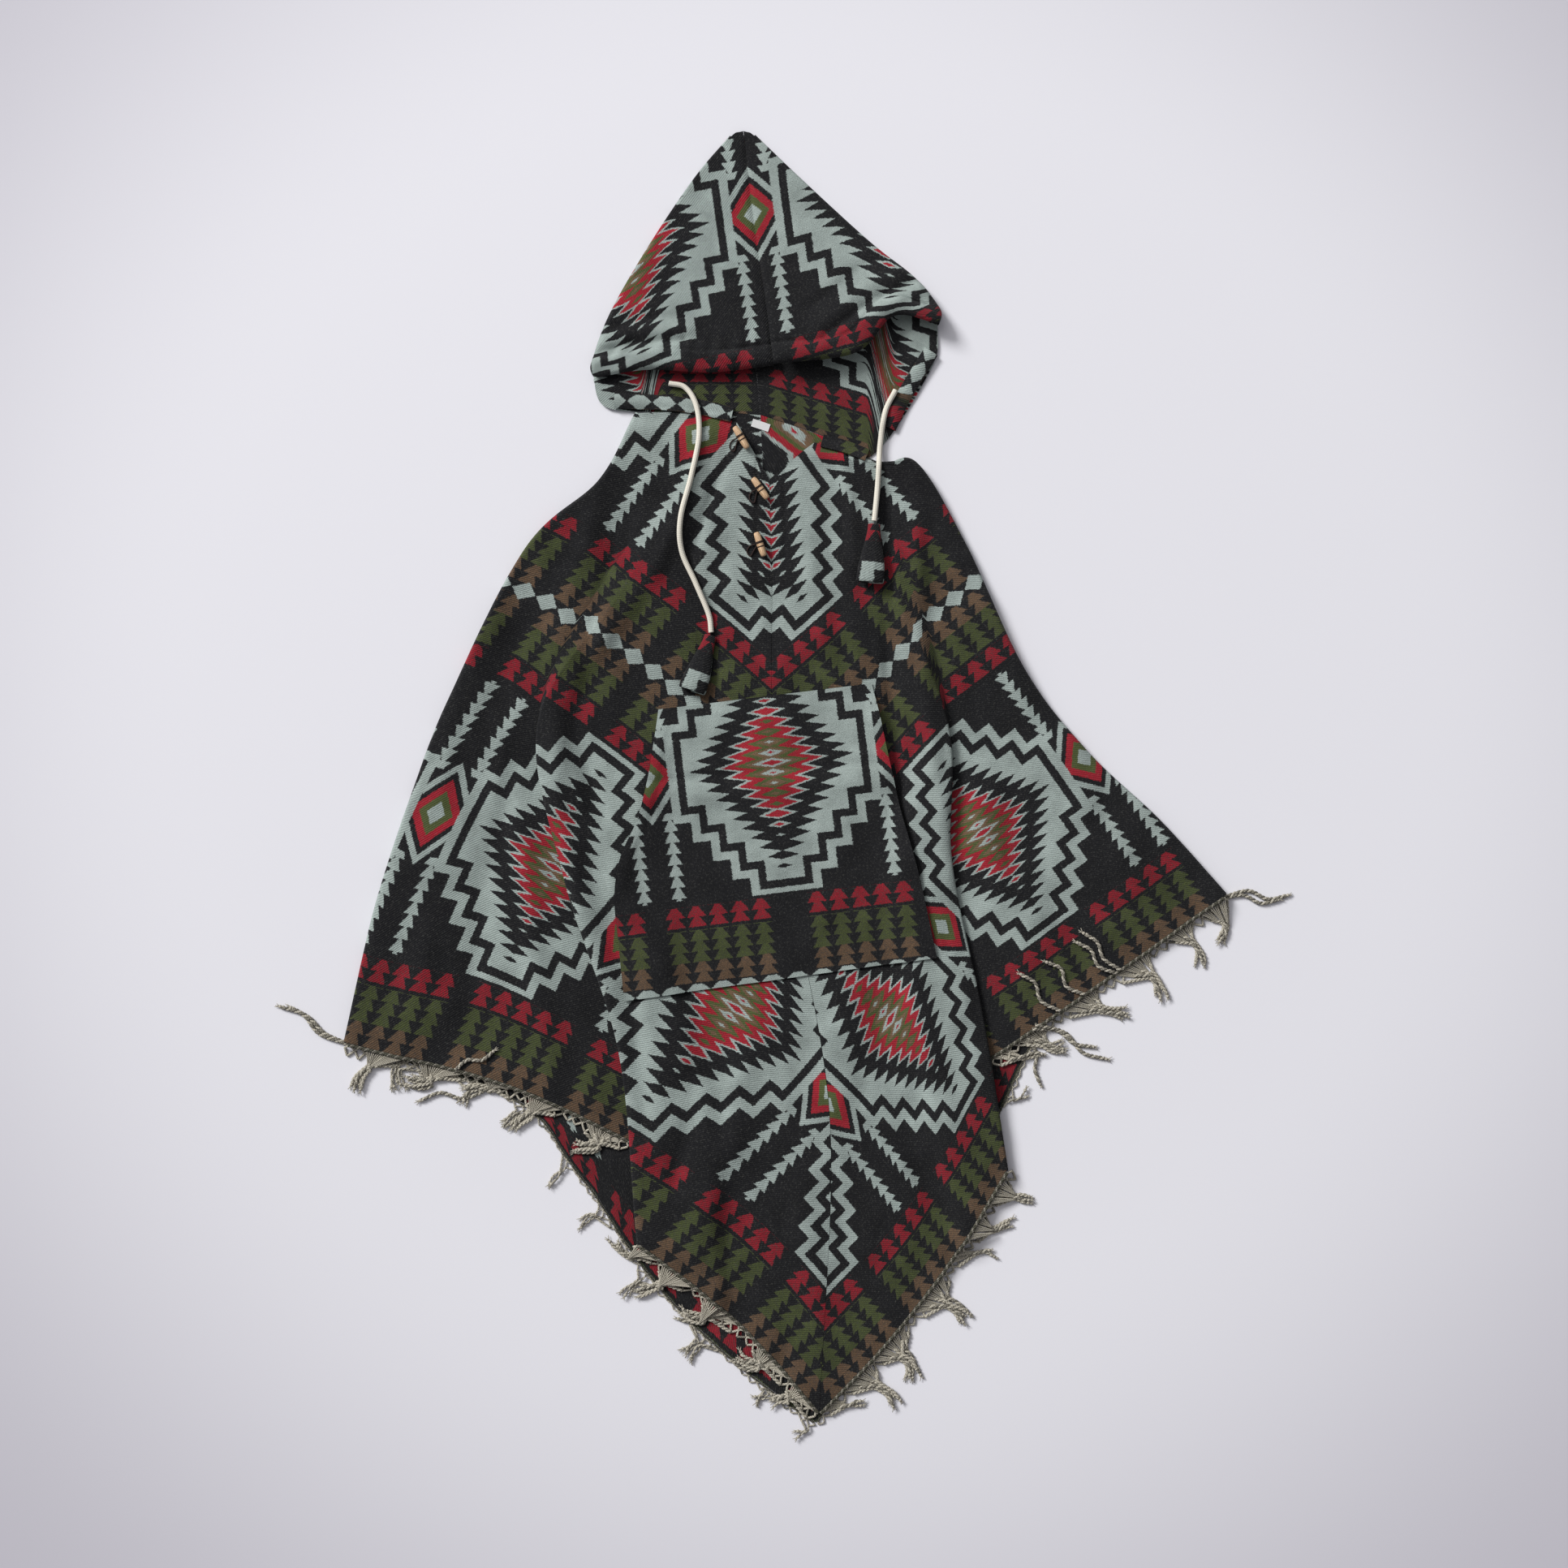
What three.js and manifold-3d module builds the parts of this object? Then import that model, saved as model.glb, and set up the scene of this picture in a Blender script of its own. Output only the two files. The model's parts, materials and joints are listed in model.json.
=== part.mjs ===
import * as THREE from 'three';
import Module from 'manifold-3d';
import { mergeVertices } from 'three/addons/utils/BufferGeometryUtils.js';

const wasm = await Module();
wasm.setup();

// Millimetres. The poncho lies face up on the table at z = 0, hood towards +Y.
const WALL = 1.8;             // blanket cloth, thick
const BACK_Z = 0.9;           // middle of the back layer
const FRONT_Z = 3.3;          // middle of the front layer, lying on the back
const PITCH = 2.4;            // one layer of cloth lying on another
const FOLD_RADIUS = 1.2;      // pressed fold of the pleats
const ARM_RADIUS = 2.8;       // soft fold along each arm edge
const HALF_STATIONS = 17;     // sections from the neck to the hem
const HOOD_STATIONS = 13;     // sections from the hood's tip to its mouth

const CORD_DIAMETER = 6.3;
const TOGGLE_LENGTH = 29;
const TOGGLE_DIAMETER = 8.4;
const TASSEL_LENGTH = 68;
const STRAND_LENGTH = 62;
const HEADER_WIDTH = 4;       // knotted edge that holds the strands
const FRONT_POINT = -670;     // strands below this, at the hem's point, are shorter

// Seam lines shared by the two halves, from the neck down to the hem
const CENTRE_FRONT = [[-17, 352], [-14, 236], [-13, 76], [8, -117], [53, -389], [41, -726]];
const CENTRE_BACK = [[-27, 427], [-24, 342], [-22, 233], [-17, 71], [0, -117], [27, -408], [37, -739]];

// A row per section of each half. Across the cloth: the V neck's edge, the front panel's fold, the
// tuck behind that fold, the wing, the fold along the arm edge, and two points of the back layer.
const LEFT_NECK = [-55, 419];
const LEFT_HALF = [
  { fold: [-96, 427], tuck: [-106, 428], wing: [-134, 430], arm: [-172, 430], outer: [-128, 430], inner: [-81, 430] },
  { fold: [-114, 344], tuck: [-132, 345], wing: [-170, 352], arm: [-214, 352], outer: [-165, 352], inner: [-100, 347] },
  { fold: [-189, 217], tuck: [-216, 228], wing: [-250, 250], arm: [-299, 273], outer: [-231, 245], inner: [-137, 239] },
  { fold: [-281, 71], tuck: [-283, 71], wing: [-335, 81], arm: [-388, 98], outer: [-306, 76], inner: [-175, 70] },
  { fold: [-250, -112], tuck: [-217, -98], wing: [-339, -79], arm: [-433, -18], outer: [-335, -88], inner: [-194, -107] },
  { fold: [-189, -305], tuck: [-135, -267], wing: [-321, -239], arm: [-474, -145], outer: [-335, -239], inner: [-214, -305] },
  { fold: [-167, -530], tuck: [-94, -457], wing: [-302, -353], arm: [-509, -298], outer: [-306, -367], inner: [-214, -478] },
];
const RIGHT_NECK = [35, 395];
const RIGHT_HALF = [
  { fold: [60, 389], tuck: [70, 386], wing: [88, 379], arm: [113, 368], outer: [86, 385], inner: [41, 404] },
  { fold: [90, 335], tuck: [105, 340], wing: [126, 351], arm: [154, 371], outer: [118, 350], inner: [55, 346] },
  { fold: [132, 211], tuck: [154, 222], wing: [181, 244], arm: [211, 276], outer: [164, 236], inner: [81, 233] },
  { fold: [188, 62], tuck: [190, 62], wing: [233, 100], arm: [278, 133], outer: [216, 92], inner: [117, 79] },
  { fold: [191, -88], tuck: [159, -79], wing: [267, -27], arm: [350, 39], outer: [258, -32], inner: [154, -88] },
  { fold: [227, -267], tuck: [169, -241], wing: [333, -115], arm: [436, -43], outer: [290, -140], inner: [182, -258] },
  { fold: [256, -446], tuck: [179, -357], wing: [382, -218], arm: [511, -126], outer: [319, -254], inner: [227, -419] },
];

// A row per section of each hood panel, from the tip to the mouth: over the top from the centre
// seam to the side, then back underneath to the centre seam. puff is the height between the layers.
const HOOD_LEFT = [
  { seam: [-47.2, 755], brow: [-51, 754], temple: [-56, 753], side: [-63, 750], jaw: [-58, 749], nape: [-54, 749], collar: [-51, 749], spine: [-47.2, 749], puff: 2.4 },
  { seam: [-41.2, 697], brow: [-60, 697], temple: [-82, 697], side: [-107, 697], jaw: [-88, 690], nape: [-74, 690], collar: [-60, 690], spine: [-45.2, 690], puff: 3.5 },
  { seam: [-30.2, 615], brow: [-72, 614], temple: [-118, 613], side: [-163, 612], jaw: [-135, 606], nape: [-106, 606], collar: [-74, 606], spine: [-41.2, 606], puff: 6 },
  { seam: [-20.2, 548], brow: [-77, 543], temple: [-140, 540], side: [-205, 536], jaw: [-172, 520], nape: [-128, 517], collar: [-82, 515], spine: [-35.2, 512], puff: 9 },
  { seam: [-12.2, 483], brow: [-84, 475], temple: [-158, 478], side: [-228, 470], jaw: [-206, 436], nape: [-146, 430.5], collar: [-82, 430.5], spine: [-27.2, 427.4], puff: 12 },
];
const HOOD_RIGHT = [
  { seam: [-46.8, 755], brow: [-43, 754], temple: [-39, 753], side: [-33, 751], jaw: [-36, 749], nape: [-40, 749], collar: [-43, 749], spine: [-46.8, 749], puff: 2.4 },
  { seam: [-40.8, 697], brow: [-22, 698], temple: [-2, 699], side: [20, 700], jaw: [4, 690], nape: [-12, 690], collar: [-28, 690], spine: [-44.8, 690], puff: 3.5 },
  { seam: [-29.8, 615], brow: [12, 620], temple: [55, 626], side: [98, 628], jaw: [66, 608], nape: [30, 607], collar: [-5, 606], spine: [-40.8, 606], puff: 7 },
  { seam: [-19.8, 548], brow: [42, 556], temple: [104, 578], side: [156, 580], jaw: [112, 530], nape: [66, 516], collar: [15, 513], spine: [-34.8, 512], puff: 14 },
  { seam: [-11.8, 483], brow: [82, 496], temple: [126, 538], side: [188, 536], jaw: [156, 466], nape: [100, 379], collar: [42, 404.6], spine: [-26.8, 427.4], puff: 22 },
];

// Strips of cloth laid on the garment: the lower lip's drawstring casing and the right neck band
const CASING_LEFT = { line: [[-196, 443], [-150, 441], [-104, 437], [-60, 427]], width: 17 };
const CASING_RIGHT = { line: [[170, 500], [154, 474], [136, 444], [121, 412]], width: 17 };
const NECK_BAND = { line: [[44, 397], [70, 390], [96, 380]], width: 15 };

// The pocket's edges, left and right, a row per height from its top to its bottom
const POCKET = [
  { left: [-145, 86], right: [101, 116] },
  { left: [-150, 48], right: [111, 76] },
  { left: [-157, 6], right: [124, 15] },
  { left: [-169, -41], right: [135, -32] },
  { left: [-188, -84], right: [147, -74] },
  { left: [-195, -131], right: [157, -112] },
  { left: [-190, -187], right: [167, -158] },
  { left: [-184, -250], right: [176, -200] },
];

const TOGGLES = [
  { name: 'toggle_1', from: [-57, 412], to: [-42, 387] },
  { name: 'toggle_2', from: [-36, 353], to: [-19, 329] },
  { name: 'toggle_3', from: [-32, 290], to: [-23, 263] },
];
const CORD_LEFT = [[-133, 463], [-114, 458], [-101, 436], [-98, 400], [-107, 353], [-119, 306],
  [-118, 269], [-102, 232], [-87, 196], [-84, 175]];
const CORD_RIGHT = [[129, 455], [117, 430], [111, 391], [108, 344], [104, 303]];
const TASSEL_LEFT = { from: [-84, 173], to: [-106, 109] };
const TASSEL_RIGHT = { from: [104, 301], to: [99, 239] };

const { clamp, smoothstep } = THREE.MathUtils;
const flat = (x, y, z = 0) => new THREE.Vector3(x, y, z);

// A smooth line through plan points, read by the point's number
function lineThrough(points) {
  const curve = new THREE.CatmullRomCurve3(points.map(([x, y]) => flat(x, y)), false, 'catmullrom', 0.5);
  return (place) => curve.getPoint(clamp(place / (points.length - 1), 0, 1));
}

// The unit vector in plan square to a line, on the given side
function squareTo(line, place, side) {
  const ahead = line(place + 0.05), behind = line(place - 0.05);
  const along = ahead.sub(behind).normalize();
  return flat(-side * along.y, side * along.x);
}

// Cloth of the given thickness around a grid of points, closed along its four edges
function cloth(grid, thickness = WALL) {
  const rows = grid.length, columns = grid[0].length;
  const vertices = [];
  const index = (layer, r, c) => (layer * rows + r) * columns + c;
  for (const offset of [thickness / 2, -thickness / 2]) {
    for (let r = 0; r < rows; r++) {
      for (let c = 0; c < columns; c++) {
        const across = grid[r][Math.min(c + 1, columns - 1)].clone().sub(grid[r][Math.max(c - 1, 0)]);
        const down = grid[Math.min(r + 1, rows - 1)][c].clone().sub(grid[Math.max(r - 1, 0)][c]);
        const normal = across.cross(down).normalize();
        const point = grid[r][c].clone().addScaledVector(normal, offset);
        vertices.push(point.x, point.y, point.z);
      }
    }
  }
  const triangles = [];
  const quad = (a, b, c, d) => triangles.push(a, b, c, a, c, d);
  for (let r = 0; r < rows - 1; r++) {
    for (let c = 0; c < columns - 1; c++) {
      quad(index(0, r, c), index(0, r, c + 1), index(0, r + 1, c + 1), index(0, r + 1, c));
      quad(index(1, r, c), index(1, r + 1, c), index(1, r + 1, c + 1), index(1, r, c + 1));
    }
    quad(index(0, r, 0), index(0, r + 1, 0), index(1, r + 1, 0), index(1, r, 0));
    const last = columns - 1;
    quad(index(0, r, last), index(1, r, last), index(1, r + 1, last), index(0, r + 1, last));
  }
  for (let c = 0; c < columns - 1; c++) {
    quad(index(0, 0, c), index(1, 0, c), index(1, 0, c + 1), index(0, 0, c + 1));
    const last = rows - 1;
    quad(index(0, last, c), index(0, last, c + 1), index(1, last, c + 1), index(1, last, c));
  }
  return closedGeometry(vertices, triangles);
}

// A closed geometry with its faces pointing out
function closedGeometry(vertices, triangles) {
  let volume = 0;
  const corner = (i) => flat(vertices[3 * i], vertices[3 * i + 1], vertices[3 * i + 2]);
  for (let i = 0; i < triangles.length; i += 3) {
    volume += corner(triangles[i]).dot(corner(triangles[i + 1]).cross(corner(triangles[i + 2])));
  }
  if (volume < 0) {
    for (let i = 0; i < triangles.length; i += 3) {
      [triangles[i], triangles[i + 1]] = [triangles[i + 1], triangles[i]];
    }
  }
  const geometry = new THREE.BufferGeometry();
  geometry.setAttribute('position', new THREE.Float32BufferAttribute(vertices, 3));
  geometry.setIndex(triangles);
  geometry.computeVertexNormals();
  return geometry;
}

// One section of a half: out from the centre seam, round the pleat, over the wing, round the arm
// edge and back under the garment to the spine. place runs from 0 at the neck to 6 at the hem.
function halfSection(lines, neck, side, place) {
  const centre = lineThrough(CENTRE_FRONT);
  const spine = lineThrough(CENTRE_BACK)(place).add(flat(side * 0.2, 0));
  const seam = place < 1 ? flat(...neck).lerp(centre(0), place) : centre(place - 1);
  seam.x += side * 0.2;
  const fold = lines.fold(place), tuck = lines.tuck(place), wing = lines.wing(place);
  const foldOut = squareTo(lines.fold, place, side), tuckOut = squareTo(lines.tuck, place, side);
  const armOut = squareTo(lines.arm, place, side);

  // The pleat turns from flat at the neck, through a ramp, to a full fold below its top
  const spread = tuck.clone().sub(fold).dot(foldOut);
  const fade = smoothstep(place, 0.4, 2.6);
  const drop = 4 * FOLD_RADIUS * fade;
  const ramp = drop * smoothstep(spread, -10, 0);
  const turn = Math.max(Math.atan2(ramp, spread - 2 * FOLD_RADIUS), 0.02);
  const radius = Math.max(FOLD_RADIUS, 3 / turn);
  const top = FRONT_Z + drop;

  const points = [];
  const width = fold.distanceTo(seam);
  const swallowed = Math.max(-spread, 0);
  const risen = Math.max(1 - (14 + 1.2 * swallowed) / width, 0.5);
  const rising = Math.max(risen - 22 / width, 0.3);
  for (const [share, z] of [[0, FRONT_Z], [rising / 2, FRONT_Z], [rising, FRONT_Z], [risen, top]]) {
    points.push(seam.clone().lerp(fold, share).setZ(z));
  }
  for (let k = 0; k <= 4; k++) {
    const angle = turn * k / 4;
    points.push(fold.clone().addScaledVector(foldOut, radius * Math.sin(angle))
      .setZ(top - radius * (1 - Math.cos(angle))));
  }
  for (let k = 0; k <= 4; k++) {
    const angle = turn * (1 - k / 4);
    points.push(tuck.clone().addScaledVector(tuckOut, -radius * Math.sin(angle))
      .setZ(FRONT_Z + radius * (1 - Math.cos(angle))));
  }

  const edge = lines.arm(place).addScaledVector(armOut, -ARM_RADIUS - WALL / 2);
  const inside = edge.clone().sub(wing).normalize();
  points.push(tuck.clone().lerp(wing, 0.55).setZ(FRONT_Z), wing.clone().setZ(FRONT_Z));
  points.push(edge.clone().addScaledVector(inside, -22).setZ(FRONT_Z + 1.2));
  for (let k = 0; k <= 5; k++) {
    const angle = Math.PI * k / 5;
    points.push(edge.clone().addScaledVector(armOut, ARM_RADIUS * Math.sin(angle))
      .setZ(BACK_Z + ARM_RADIUS * (1 + Math.cos(angle))));
  }
  const outer = lines.outer(place), inner = lines.inner(place);
  points.push(edge.clone().lerp(outer, 0.5).setZ(BACK_Z), outer.setZ(BACK_Z));
  points.push(outer.clone().lerp(inner, 0.5).setZ(BACK_Z), inner.setZ(BACK_Z), spine.setZ(BACK_Z));
  return points;
}

function linesOf(rows) {
  const names = Object.keys(rows[0]).filter((name) => Array.isArray(rows[0][name]));
  return Object.fromEntries(names.map((name) => [name, lineThrough(rows.map((row) => row[name]))]));
}

function halfGrid(rows, neck, side) {
  const lines = linesOf(rows);
  return Array.from({ length: HALF_STATIONS }, (_, i) =>
    halfSection(lines, neck, side, 6 * i / (HALF_STATIONS - 1)));
}

// A hood panel: its top layer, the soft fold at its side and the layer that lies on the table
function hoodGrid(rows, side) {
  const lines = linesOf(rows);
  const puffAt = lineThrough(rows.map((row, i) => [i, row.puff]));
  return Array.from({ length: HOOD_STATIONS }, (_, i) => {
    const place = 4 * i / (HOOD_STATIONS - 1);
    const puff = puffAt(place).y;
    const radius = puff / 2;
    const sideOut = squareTo(lines.side, place, side);
    const edge = lines.side(place).addScaledVector(sideOut, -radius - WALL / 2);
    const points = [
      lines.seam(place).setZ(BACK_Z + puff),
      lines.seam(place).lerp(lines.brow(place), 0.5).setZ(BACK_Z + puff),
      lines.brow(place).setZ(BACK_Z + puff),
      lines.temple(place).setZ(BACK_Z + puff),
    ];
    for (let k = 0; k <= 6; k++) {
      const angle = Math.PI * k / 6;
      points.push(edge.clone().addScaledVector(sideOut, radius * Math.sin(angle))
        .setZ(BACK_Z + radius * (1 + Math.cos(angle))));
    }
    points.push(lines.jaw(place).setZ(BACK_Z), lines.nape(place).setZ(BACK_Z),
      lines.collar(place).setZ(BACK_Z), lines.spine(place).setZ(BACK_Z));
    return points;
  });
}

// The highest cloth of some grids within a short reach of a plan point
function heightNear(grids, x, y, reach) {
  let height = 0;
  for (let i = 0; i <= 16; i++) {
    const away = reach * (i < 8 ? 1 : i < 16 ? 0.5 : 0);
    const px = x + away * Math.cos(i * Math.PI / 4), py = y + away * Math.sin(i * Math.PI / 4);
    for (const grid of grids) {
      for (let r = 0; r < grid.length - 1; r++) {
        for (let c = 0; c < grid[0].length - 1; c++) {
          const a = grid[r][c], b = grid[r][c + 1], d = grid[r + 1][c], e = grid[r + 1][c + 1];
          for (const [p, q, s] of [[a, b, e], [a, e, d]]) {
            const det = (q.x - p.x) * (s.y - p.y) - (s.x - p.x) * (q.y - p.y);
            if (Math.abs(det) < 1e-6) continue;
            const v = ((px - p.x) * (s.y - p.y) - (s.x - p.x) * (py - p.y)) / det;
            const w = ((q.x - p.x) * (py - p.y) - (px - p.x) * (q.y - p.y)) / det;
            if (v < 0 || w < 0 || v + w > 1) continue;
            height = Math.max(height, p.z + v * (q.z - p.z) + w * (s.z - p.z));
          }
        }
      }
    }
  }
  return height;
}

// A narrow strip of cloth along a line, lying on the cloth beneath
function stripGrid({ line, width }, under, stations, columns) {
  const along = lineThrough(line);
  return Array.from({ length: stations }, (_, i) => {
    const place = (line.length - 1) * i / (stations - 1);
    const out = squareTo(along, place, 1);
    return Array.from({ length: columns }, (_, c) => {
      const point = along(place).addScaledVector(out, width * (c / (columns - 1) - 0.5));
      return point.setZ(heightNear(under, point.x, point.y, 9) + PITCH + 0.3);
    });
  });
}

function pocketGrid(under) {
  const lines = linesOf(POCKET);
  return Array.from({ length: 13 }, (_, i) => {
    const place = (POCKET.length - 1) * i / 12;
    return Array.from({ length: 13 }, (_, c) => {
      const point = lines.left(place).lerp(lines.right(place), c / 12);
      return point.setZ(heightNear(under, point.x, point.y, 14) + PITCH + 0.2);
    });
  });
}

// A solid from a closed geometry, and back, so that pieces can be joined
function solidOf(geometry) {
  const bare = geometry.clone();
  bare.deleteAttribute('normal');
  bare.deleteAttribute('uv');
  const merged = mergeVertices(bare, 1e-5);
  return new wasm.Manifold(new wasm.Mesh({
    numProp: 3,
    vertProperties: new Float32Array(merged.attributes.position.array),
    triVerts: new Uint32Array(merged.index.array),
  }));
}

function geometryOf(solid) {
  const mesh = solid.getMesh();
  const geometry = new THREE.BufferGeometry();
  geometry.setAttribute('position', new THREE.Float32BufferAttribute(mesh.vertProperties, 3));
  geometry.setIndex(Array.from(mesh.triVerts));
  geometry.computeVertexNormals();
  return geometry;
}

// One yarn strand: a four-sided rod along its points, a little thinner at the tip
function strand(points, radius) {
  const vertices = [], triangles = [];
  points.forEach((point, i) => {
    const ahead = points[Math.min(i + 1, points.length - 1)], behind = points[Math.max(i - 1, 0)];
    const along = ahead.clone().sub(behind).normalize();
    const out = flat(along.y, -along.x).normalize();
    const up = out.clone().cross(along).normalize();
    const r = radius * (i === points.length - 1 ? 0.8 : 1);
    for (const [a, b] of [[1, 0], [0, 1], [-1, 0], [0, -1]]) {
      const corner = point.clone().addScaledVector(out, a * r).addScaledVector(up, b * r);
      vertices.push(corner.x, corner.y, corner.z);
    }
  });
  for (let i = 0; i < points.length - 1; i++) {
    for (let k = 0; k < 4; k++) {
      const a = 4 * i + k, b = 4 * i + (k + 1) % 4;
      triangles.push(a, b, b + 4, a, b + 4, a + 4);
    }
  }
  const end = 4 * (points.length - 1);
  triangles.push(0, 2, 1, 0, 3, 2, end, end + 1, end + 2, end, end + 2, end + 3);
  return closedGeometry(vertices, triangles);
}

// The fringe of one hem: a knotted header strip beside the cloth's edge, and its strands
function fringe(hem, side, { radius, high, low, reach, pitch }, corner) {
  const along = new THREE.CurvePath();
  for (let i = 1; i < hem.length; i++) along.add(new THREE.LineCurve3(hem[i - 1], hem[i]));
  const outOf = (a, b) => flat(-side * (b.y - a.y), side * (b.x - a.x)).normalize();
  const header = hem.map((root, i) => {
    const before = outOf(hem[Math.max(i - 1, 0)], hem[Math.max(i, 1)]);
    const after = outOf(hem[Math.min(i, hem.length - 2)], hem[Math.min(i + 1, hem.length - 1)]);
    const out = before.add(after).normalize();
    return [0.6, 0.6 + HEADER_WIDTH].map((reached) => root.clone().addScaledVector(out, reached));
  });
  let solid = solidOf(cloth(header, 1.6));
  const length = along.getLength();
  const count = Math.floor((length - 12) / pitch);
  for (let k = 0; k <= count; k++) {
    const u = (6 + k * (length - 12) / count) / length;
    const root = along.getPoint(u);
    const square = outOf(along.getPoint(u - 0.004), along.getPoint(u + 0.004));
    const sway = 0.34 * Math.sin(2.4 * k + 0.7) + 0.14 * Math.sin(5.1 * k);
    const out = square.clone().applyAxisAngle(flat(0, 0, 1), sway);
    const bend = out.clone().applyAxisAngle(flat(0, 0, 1), 0.4 * Math.sin(3.7 * k + 1));
    const share = root.y < FRONT_POINT ? 0.6 : 1;
    const long = STRAND_LENGTH * share * (1 + 0.1 * Math.sin(1.9 * k));
    const start = root.clone().addScaledVector(square, 0.6 + HEADER_WIDTH / 2);
    start.z = Math.max(start.z, high);
    const middle = start.clone().addScaledVector(out, long * 0.5);
    middle.z = Math.max(Math.min(start.z, high + 1), high);
    const late = middle.clone().addScaledVector(bend, share * reach - long * 0.5).setZ(high);
    const tip = late.clone().addScaledVector(bend, long - share * reach).setZ(low);
    solid = solid.add(solidOf(strand([start, middle, late, tip], radius)));
  }
  // The last strand of a wing's hem trails away from its corner
  if (corner) {
    const start = hem[hem.length - 1].clone().addScaledVector(outOf(hem[hem.length - 2], hem[hem.length - 1]), 2.6);
    const tip = flat(...corner, low);
    const late = tip.clone().lerp(start, 0.3).setZ(high);
    solid = solid.add(solidOf(strand([start, late, tip], radius)));
  }
  return geometryOf(solid);
}

// A round cord along a path
function cord(points) {
  const path = new THREE.CatmullRomCurve3(points, false, 'catmullrom', 0.5);
  const section = new THREE.Shape(new THREE.EllipseCurve(0, 0, CORD_DIAMETER / 2, CORD_DIAMETER / 2).getPoints(8).slice(0, 8));
  const steps = Math.round(path.getLength() / (2 * CORD_DIAMETER));
  return new THREE.ExtrudeGeometry(section, { steps, bevelEnabled: false, extrudePath: path });
}

// A turned shape lying from one plan point to another at the given height
function lying(mesh, from, to, height) {
  const direction = flat(to[0] - from[0], to[1] - from[1]).normalize();
  mesh.position.set((from[0] + to[0]) / 2, (from[1] + to[1]) / 2, height);
  mesh.quaternion.setFromUnitVectors(flat(0, 1, 0), direction);
  return mesh;
}

const material = (colour, roughness) => new THREE.MeshStandardMaterial({ color: colour, roughness, metalness: 0 });
const CLOTH = material('#3a393b', 0.95);
const TRIM = material('#8c3a40', 0.95);
const YARN = material('#a9a79c', 0.95);
const ECRU = material('#d8d0bc', 0.85);
const WOOD = material('#cfa884', 0.6);
const WHITE = material('#e8e8e6', 0.8);

const garment = new THREE.Group();
const add = (name, geometry, look) => {
  const mesh = new THREE.Mesh(geometry, look);
  mesh.name = name;
  garment.add(mesh);
  return mesh;
};

const left = halfGrid(LEFT_HALF, LEFT_NECK, -1);
const right = halfGrid(RIGHT_HALF, RIGHT_NECK, 1);
const hoodLeft = hoodGrid(HOOD_LEFT, -1);
const hoodRight = hoodGrid(HOOD_RIGHT, 1);
add('half_left', cloth(left), CLOTH);
add('half_right', cloth(right), CLOTH);
add('hood_left', cloth(hoodLeft), CLOTH);
add('hood_right', cloth(hoodRight), CLOTH);

const pocket = pocketGrid([left, right]);
add('pocket', cloth(pocket), CLOTH);

// Only the layer of each hood panel that lies on the table is under the casings
const hoodUnder = [hoodLeft, hoodRight].map((grid) => grid.map((row) => row.slice(10)));
const sheets = [left, right, ...hoodUnder];
const casingLeft = stripGrid(CASING_LEFT, sheets, 8, 3);
const casingRight = stripGrid(CASING_RIGHT, sheets, 6, 3);
const neckBand = stripGrid(NECK_BAND, sheets, 4, 3);
add('casing_left', cloth(casingLeft), CLOTH);
add('casing_right', cloth(casingRight), CLOTH);
add('neck_band', cloth(neckBand), CLOTH);

const dressed = [...sheets, pocket, casingLeft, casingRight, neckBand];
const above = (x, y, reach) => heightNear(dressed, x, y, reach) + WALL / 2 + 0.4;

// Barrel toggles, fatter in the middle, lying on the front
const barrel = [[0, -0.5], [0.3, -0.5], [0.42, -0.42], [0.5, -0.15], [0.5, 0.15], [0.42, 0.42], [0.3, 0.5], [0, 0.5]]
  .map(([r, y]) => new THREE.Vector2(r * TOGGLE_DIAMETER, y * TOGGLE_LENGTH));
for (const { name, from, to } of TOGGLES) {
  const height = Math.max(above(...from, 7), above(...to, 7)) + TOGGLE_DIAMETER / 2;
  lying(add(name, new THREE.LatheGeometry(barrel, 12), WOOD), from, to, height);
}

// Drawstrings, each ending in a rolled cloth tassel
const laidCord = (line) => {
  const plan = new THREE.CatmullRomCurve3(line.map(([x, y]) => flat(x, y)), false, 'catmullrom', 0.5);
  return plan.getSpacedPoints(Math.round(plan.getLength() / 14))
    .map(({ x, y }) => flat(x, y, above(x, y, 12) + 0.3 + CORD_DIAMETER / 2));
};
add('cord_left', cord(laidCord(CORD_LEFT)), ECRU);
add('cord_right', cord(laidCord(CORD_RIGHT)), ECRU);
const cone = [[0, 0.5], [3.4, 0.5], [5.5, 0.38], [7.5, 0.1], [9.5, -0.25], [10, -0.48], [8.5, -0.5], [0, -0.5]]
  .map(([r, y]) => new THREE.Vector2(r, y * TASSEL_LENGTH));
for (const [name, { from, to }] of [['tassel_left', TASSEL_LEFT], ['tassel_right', TASSEL_RIGHT]]) {
  const direction = flat(to[0] - from[0], to[1] - from[1]).normalize();
  const start = flat(...from).addScaledVector(direction, 1.5);
  const end = start.clone().addScaledVector(direction, TASSEL_LENGTH);
  const height = Math.max(above(start.x, start.y, 8), above(end.x, end.y, 7)) + 6;
  const tassel = lying(add(name, new THREE.LatheGeometry([...cone].reverse(), 12).rotateY(Math.PI / 12), TRIM),
    [end.x, end.y], [start.x, start.y], height);
  tassel.scale.z = 0.6;
}

// The bare label on the inside of the back, at the neck
const label = add('neck_label', new THREE.BoxGeometry(21, 9, 0.6), WHITE);
label.position.set(-27, 415, BACK_Z + WALL / 2 + 0.7);
label.rotation.z = -0.32;

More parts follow.
